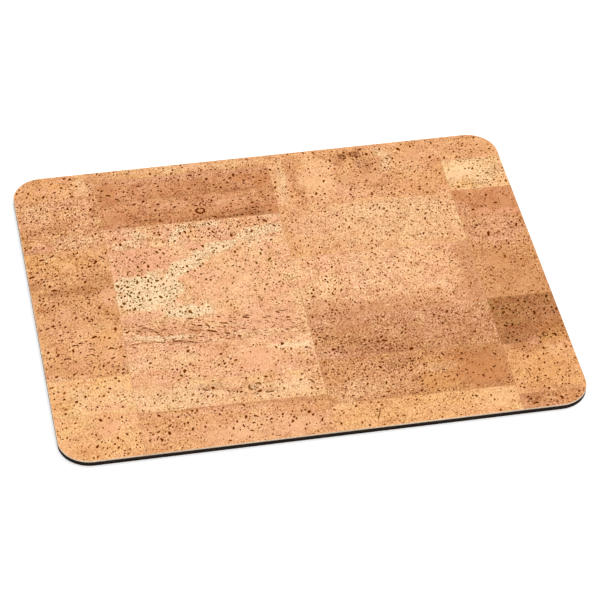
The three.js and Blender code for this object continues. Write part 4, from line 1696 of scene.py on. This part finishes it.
def leaf_d() -> Iterator[CorkStrip]:
    """Yields the strips along the right edge, from the back to the front."""
    yield CorkStrip(
        "d1", Bark.AMBER, Pores(14, 0.5, 40, 2.2, slant=25, grain=0.55),
        patches=(Patch(234, 9, 16, 9, Stain.CLAY, 0.15), Patch(244, 10, 3, 4, Stain.CLAY, 0.3, grain=0.3)),
        clusters=(Cluster(234, 13, 12, 3, 20, 0.65),),
        lone=((225.8, 10.2), (240.6, 8.8), (246.4, 13)),
    )
    # Pale, with pores crowded along its back and front
    yield CorkStrip(
        "d2", Bark.STRAW, Pores(16, 0.65, 40, 2.2, slant=60),
        patches=(
            Patch(234, 28, 18, 11, Stain.CREAM, 0.3), Patch(226, 28, 7, 5, Stain.CREAM, 0.3, grain=0.25),
            Patch(234, 18, 16, 1.2, Stain.CLAY, 0.45, soft=0.7), Patch(226, 39, 9, 2, Stain.OCHRE, 0.45),
        ),
        clusters=(
            Cluster(234, 20, 14, 1.6, 60, 0.65), Cluster(231, 39, 12, 2.4, 110, 0.62),
            Cluster(243, 30, 4, 9, 60, 0.6), Cluster(235, 23, 3, 1.6, 8, 0.8),
        ),
        lone=((229, 20.6), (235, 23.4), (238, 22), (239.4, 18.4), (245.6, 26.6), (245.4, 39), (239.6, 41)),
    )
    yield CorkStrip(
        "d3", Bark.RUSSET, Pores(13, 0.52, 38, 2.2, slant=30, grain=0.55),
        patches=(
            Patch(234, 52, 20, 12, Stain.EMBER, 0.3, soft=0.6),
            Patch(244, 55, 4, 4, Stain.CLAY, 0.5, grain=0.2), Patch(228, 55, 4, 2, Stain.CHESTNUT, 0.35),
            Patch(221, 58, 4, 5, Stain.BLUSH, 0.4), Patch(236, 61.6, 14, 2.4, Stain.PINK, 0.4),
        ),
        clusters=(Cluster(222, 56, 3, 3, 12, 0.7),),
        streaks=(Streak(241, 58, 241.4, 50.4, 0.35, slot=Slot.GROWTH),),
        lone=((227.8, 46.4), (231.4, 56.6), (230, 63), (244.4, 64.8)),
    )
    yield CorkStrip(
        "d4", Bark.RUST, Pores(13, 0.43, 60, 2.8, slant=5, grain=0.74),
        patches=(
            Patch(233, 74, 16, 13, Stain.BLUSH, 0.45), Patch(230, 95, 6, 6, Stain.CLAY, 0.3, grain=0.5),
            Patch(234, 112, 18, 14, Stain.CLAY, 0.3, grain=0.7),
        ),
        clusters=(Cluster(227, 70, 6, 6, 24, 0.6), Cluster(243, 70, 3, 6, 12, 0.7)),
        streaks=(Streak(246, 122.4, 246.2, 119.8, 0.8),),
        lone=((229.8, 63.4), (225.4, 70.4), (243.2, 70.6), (244.4, 70.8), (231, 115), (248, 74)),
    )
    # The darkest
    yield CorkStrip(
        "d5", Bark.CEDAR, Pores(28, 0.7, 44, 2.0, slant=15, grain=0.75),
        patches=(
            Patch(234, 126, 16, 2.6, Stain.CHESTNUT, 0.4, soft=0.6),
            Patch(243, 138, 8, 8, Stain.CLAY, 0.5, soft=0.6),
            Patch(226, 147, 12, 3, Stain.CHESTNUT, 0.6, soft=0.6), Patch(243, 147, 8, 4, Stain.EMBER, 0.5),
            Patch(243, 155, 9, 5, Stain.OCHRE, 0.65, 4, soft=0.7),
            Patch(232, 155.4, 3, 2.4, Stain.PINK, 0.55, soft=0.6),
        ),
        clusters=(Cluster(236, 136, 12, 9, 34, 0.85),),
        streaks=(Streak(242.8, 136.4, 243.2, 134, 0.9), Streak(217.9, 157.2, 218.6, 155.6, 0.9)),
        curls=(Curl(239.1, 152.4, 1.2, 1.4, 0.8, 20),),
        lone=(
            (235.8, 126.6), (236.6, 127), (226.6, 129.6), (236, 133), (235.4, 134), (221.6, 138), (228, 144),
            (247, 136.6), (220.4, 151.8), (234, 140), (240, 135.4), (246.2, 129.6), (224, 148.6),
            (230.4, 136),
        ),
    )
    # Ochre, darker towards the back
    yield CorkStrip(
        "d6", Bark.AMBER, Pores(18, 0.62, 40, 2.2, slant=20),
        patches=(
            Patch(232, 172, 18, 17, Stain.OCHRE, 0.55),
            Patch(241, 163, 5, 4, Stain.STRAW, 0.25, soft=0.6, grain=0.5),
            Patch(226, 157, 10, 5, Stain.CHESTNUT, 0.6, soft=0.8),
            Patch(240, 156.5, 10, 3, Stain.EMBER, 0.45, soft=0.8),
            Patch(232, 157.4, 2.6, 1.8, Stain.PINK, 0.6, soft=0.6), Patch(242, 174, 5, 2, Stain.EMBER, 0.3),
            Patch(234, 188.6, 12, 1.4, Stain.CLAY, 0.4),
        ),
        streaks=(
            Streak(224.6, 180.4, 223.2, 173, 0.55, -0.8), Streak(229, 188, 230, 185.6, 0.9),
            Streak(237.8, 158.4, 238.2, 156.4, 0.7),
        ),
        lone=(
            (228, 180), (233.8, 171.4), (232, 168.4), (242, 161.8), (239.6, 177), (246, 169), (220.4, 186),
            (222, 179),
        ),
    )
    yield CorkStrip(
        "d7", Bark.RUSSET, Pores(22, 0.7, 40, 2.2, slant=60, grain=0.7),
        patches=(Patch(240, 194, 7, 4, Stain.OCHRE, 0.4), Patch(223, 193, 4, 3, Stain.CHESTNUT, 0.4)),
        clusters=(Cluster(222, 194, 3, 3, 16, 1.0), Cluster(231, 194, 3, 3, 14, 1.0)),
    )


@dataclass
class CorkFace:
    """The four leaves of cork strips, each from the back edge to the front."""

    pad: PadFace

    def build(self) -> list[Object]:
        """Builds and dresses every strip.

        Returns:
            The strips.
        """
        edge = CutCork().material()
        seam = CutCork("Cork bark, sawn and glued", "c48d58", "a06c3c").material()
        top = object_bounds()[1][2] / MM
        dust = {tone: tone.value.material(top) for tone in Dust}
        pieces = []
        for strip in [*leaf_a(), *leaf_b(), *leaf_c(), *leaf_d()]:
            bark = strip.bark.value
            face = strip.face_material(self.pad)
            finishes = [face, edge, dust[bark.dust], dust[bark.speck], dust[Dust.GROWTH], seam]
            pieces.append(strip.build(self.pad, finishes))
        return pieces


@dataclass
class SpongeBase:
    """The sponge-rubber sheet that grips the desk, with small squares embossed in its underside."""

    pad: PadFace
    node: str = "sponge_base"
    pitch: float = 3.2  # from square to square
    groove: float = 0.8  # between squares, at the skin
    flank: float = 0.2  # width of a square's sloped flank
    groove_depth: float = 0.16
    least_square: float = 1.6  # square millimetres; no smaller piece of a square is left along the edge
    rim: float = 0.25  # left plain round the squares
    wall_step: float = 1.2
    wall_waver: float = 0.03
    waist: float = 0.06  # how far the soft wall draws in between its faces
    swell: float = 0.2  # height over which it swells out again by each face
    lip: float = 0.4  # width of the plain lip that the die leaves along the cut
    foot_round: float = 0.05  # rounding of the cut edge on the desk
    face_round: float = 0.03  # and under the glue

    def squares(self, outline: Outline) -> list[Mark]:
        """Lays out the embossed squares.

        Args:
            outline: the edge of the underside.

        Returns:
            One bump for each square, cut off along the edge.
        """
        foot_field = shrunk(outline, self.rim)
        low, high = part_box(self.node)
        columns = math.ceil((high.x - low.x) / MM / self.pitch)
        rows = math.ceil((high.y - low.y) / MM / self.pitch)
        half = (self.pitch - self.groove) / 2 + self.flank
        corners = [Vector(corner) for corner in ((-half, -half), (half, -half), (half, half), (-half, half))]
        marks = []
        for column in range(columns):
            for row in range(rows):
                centre = Vector((column - (columns - 1) / 2, row - (rows - 1) / 2)) * self.pitch
                foot = clipped([centre + corner for corner in corners], foot_field)
                if area_of(foot) > self.least_square:
                    marks.append(Mark(foot, shrunk(foot, self.flank), -self.groove_depth, 0))
        return marks

    def build(self) -> Object:
        """Builds and dresses the base.

        Returns:
            The base.
        """
        bottom, top = heights_of(self.node)
        hull = self.pad.outline
        parts = parts_of(hull, self.wall_step)
        draw = random.Random(self.node)
        profile = (
            (self.lip + self.flank, bottom + self.groove_depth),
            (self.lip, bottom),
            (self.foot_round, bottom),
            (0.0, bottom + self.foot_round),
            (0.0, bottom + self.swell),
            (self.waist, (bottom + top) / 2),
            (0.0, top - self.swell),
            (self.face_round, top),
        )
        rings = []
        for distance, height in profile:
            cut = divided(shrunk(hull, distance), parts)
            rings.append(([drawn_in(point, abs(draw.gauss(0, self.wall_waver))) for point in cut], height))
        sheet = SheetMesh("pad_sponge", Side.UNDERSIDE)
        made = sheet.wall(rings, [0])
        sheet.face(made[0], Side.UNDERSIDE, self.squares(shrunk(hull, self.lip + self.flank)))
        sheet.face(made[-1], Side.TOP)
        piece = sheet.finish(self.node, "sponge_rubber", [SpongeRubber().material()])
        return piece


@dataclass
class GlueFilm:
    """The hot-melt film that bonds the cloth to the sponge, squeezed to an uneven edge."""

    pad: PadFace
    node: str = "glue_film"
    step: float = 1.0
    shortest: float = 0.1  # the most that its edge lies back from the cut

    def build(self) -> Object:
        """Builds and dresses the film.

        Returns:
            The film.
        """
        bottom, top = heights_of(self.node)
        hull = self.pad.outline
        draw = random.Random(self.node)
        edge = divided(hull, parts_of(hull, self.step))
        uneven = [drawn_in(point, draw.uniform(0, self.shortest)) for point in edge]
        sheet = SheetMesh("pad_glue")
        made = sheet.wall([(uneven, bottom), (uneven, top)], [0])
        sheet.face(made[-1], Side.TOP)
        sheet.face(made[0], Side.UNDERSIDE)
        return sheet.finish(self.node, "hot_melt_film", [HotMeltFilm().material()])


@dataclass
class BackingCloth:
    """The woven cloth that carries the cork, with cut thread ends along its edge, coloured dark brown."""

    pad: PadFace
    node: str = "backing_cloth"
    thread: float = 0.5  # mm from thread end to thread end
    fray: float = 0.09

    def build(self) -> Object:
        """Builds and dresses the cloth.

        Returns:
            The cloth.
        """
        bottom, top = heights_of(self.node)
        hull = self.pad.outline
        draw = random.Random(self.node)
        edge = divided(hull, [2 * threads for threads in parts_of(hull, self.thread)])
        frayed = []
        for i, point in enumerate(edge):
            pull = self.fray * (i % 2) + draw.uniform(0, self.fray / 2)
            frayed.append(drawn_in(point, pull))
        sheet = SheetMesh("pad_cloth")
        made = sheet.wall([(frayed, bottom), (edge, (bottom + top) / 2), (frayed, top)], [1])
        sheet.face(made[-1], Side.TOP)
        sheet.face(made[0], Side.UNDERSIDE)
        # The cut edge is coloured dark brown, which darkens the line under the cork's edge
        soaked = HotMeltFilm("Cotton thread ends, soaked with hot melt", "3a2c22", "5c4a3a")
        piece = sheet.finish(self.node, "woven_backing", [WovenCotton().material(), soaked.material()])
        low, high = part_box(self.node)
        area = area_of(hull) * MM * MM
        return piece


@dataclass
class Studio:
    """The camera, the lights, the floor and the world round the pad."""

    # The camera, from the point of the pad's face that it looks at; the photograph is 600 by 600 pixels
    aim: Place = (2.67, -9.89, 3.0)
    distance: float = 1309.16
    turn: float = 12.637  # degrees that it looks to the right of straight ahead
    tilt: float = 42.887  # degrees that it looks down
    roll: float = 2.249  # degrees that its right side is raised
    lens: float = 162.42  # on a sensor 36 mm wide
    sensor: float = 36.0

    # The lights and the floor, in metres and watts
    dome: float = 0.81  # brightness of the world on the pad
    key_power: float = 20.2
    key_size: float = 1.6
    key_place: Place = (0.9, 1.0, 1.7)
    under_power: float = 60.0
    under_size: float = 0.5
    under_place: Place = (0.5, 1.1, -0.55)
    floor_half: float = 6.0
    floor_glow: float = 0.36  # what the camera sees over the paint: a white floor with a faint shadow
    floor_drop: float = 0.00002  # under the base, so that the two never share a plane

    def set_camera(self) -> None:
        """Places the camera at the photograph's viewpoint."""
        turn, tilt, roll = (math.radians(angle) for angle in (self.turn, self.tilt, self.roll))
        ahead = Vector((math.sin(turn) * math.cos(tilt), math.cos(turn) * math.cos(tilt), -math.sin(tilt)))
        level = Vector((math.cos(turn), -math.sin(turn), 0.0))
        above = level.cross(ahead)
        right = level * math.cos(roll) + above * math.sin(roll)
        up = right.cross(ahead)
        camera = bpy.data.objects.new("camera", bpy.data.cameras.new("camera"))
        camera.data.lens = self.lens
        camera.data.sensor_width = self.sensor
        place = (Vector(self.aim) - ahead * self.distance) * MM
        basis = Matrix((right, up, -ahead)).transposed().to_4x4()
        camera.matrix_world = Matrix.Translation(place) @ basis
        bpy.context.scene.collection.objects.link(camera)
        bpy.context.scene.camera = camera

    def add_lamp(self, name: str, place: Place, power: float, size: float) -> Object:
        """Adds a soft square lamp that faces the pad.

        Args:
            name: the lamp's name.
            place: where it hangs, in metres.
            power: in watts.
            size: its side in metres.

        Returns:
            The lamp.
        """
        lamp = bpy.data.objects.new(name, bpy.data.lights.new(name, "AREA"))
        lamp.data.energy = power
        lamp.data.size = size
        lamp.location = place
        lamp.rotation_euler = (-Vector(place)).to_track_quat("-Z", "Y").to_euler()
        bpy.context.scene.collection.objects.link(lamp)
        return lamp

    def set_lamps(self, base: Object) -> None:
        """Hangs the key lamp, and a lamp under the floor that lights the underside alone.

        Args:
            base: the pad's base.
        """
        self.add_lamp("key_lamp", self.key_place, self.key_power, self.key_size)
        under = self.add_lamp("under_lamp", self.under_place, self.under_power, self.under_size)
        lit = bpy.data.collections.new("underside")
        lit.objects.link(base)
        under.light_linking.receiver_collection = lit
        under.light_linking.blocker_collection = lit

    def set_world(self) -> None:
        """Makes the world a soft dome that looks white to the camera and in reflections."""
        world = bpy.data.worlds.new("dome")
        bpy.context.scene.world = world
        world.use_nodes = True
        tree = world.node_tree
        tree.nodes.clear()
        path = add_node(tree, "LightPath", {})
        seen = path.outputs["Is Camera Ray"]
        for ray in ("Is Glossy Ray", "Is Transmission Ray"):
            seen = add_node(tree, "Math", {0: seen, 1: path.outputs[ray]}, operation="MAXIMUM")
        strength = add_node(tree, "MapRange", {"Value": seen, "To Min": self.dome, "To Max": 1.0})
        sky = add_node(tree, "Background", {"Color": (1.0, 1.0, 1.0, 1.0), "Strength": strength})
        add_node(tree, "OutputWorld", {"Surface": sky})

    def floor_material(self) -> Material:
        """Makes the floor's finish: painted board, matt white, that is clear when seen from below.

        Returns:
            The material.
        """
        material, tree = new_material("Painted board, matt white")
        paint = add_node(tree, "BsdfDiffuse", {"Color": linear("f6f6f6")})
        seen = add_node(tree, "LightPath", {}).outputs["Is Camera Ray"]
        lift = add_node(tree, "Math", {0: seen, 1: self.floor_glow}, operation="MULTIPLY")
        glow = add_node(tree, "Emission", {"Strength": lift})
        board = add_node(tree, "AddShader", {0: paint, 1: glow})
        clear = add_node(tree, "BsdfTransparent", {})
        below = add_node(tree, "NewGeometry", {}).outputs["Backfacing"]
        surface = add_node(tree, "MixShader", {0: below, 1: board, 2: clear})
        add_node(tree, "OutputMaterial", {"Surface": surface})
        return material

    def lay_floor(self) -> None:
        """Lays the pale floor under the pad."""
        half = self.floor_half
        corners = ((-half, -half), (half, -half), (half, half), (-half, half))
        mesh = bpy.data.meshes.new("floor")
        mesh.from_pydata([(x, y, -self.floor_drop) for x, y in corners], [], [(0, 1, 2, 3)])
        mesh.materials.append(self.floor_material())
        floor = bpy.data.objects.new("floor", mesh)
        bpy.context.scene.collection.objects.link(floor)
        floor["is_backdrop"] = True


def write_sizes() -> None:
    """Gathers the CAD model's box and the dressed model's box as plain lists."""
    boxes = {"cad": cad_box, "visual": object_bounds()}
    plain = {name: [list(corner) for corner in box] for name, box in boxes.items()}


def main() -> None:
    """Builds the pad from the desk up, sets the studio round it and reports each piece."""
    logging.basicConfig(level=logging.INFO, format="%(name)s: %(message)s")
    bpy.context.scene.view_settings.view_transform = "Standard"
    studio = Studio()
    studio.set_camera()
    pad = PadFace()
    base = SpongeBase(pad).build()
    pieces = [base, GlueFilm(pad).build(), BackingCloth(pad).build(), *CorkFace(pad).build()]
    for piece in pieces:
        log.info("%s: %d faces", piece.name, len(piece.data.polygons))
    studio.set_lamps(base)
    studio.set_world()
    studio.lay_floor()
    write_sizes()


if __name__ == "__main__":
    main()
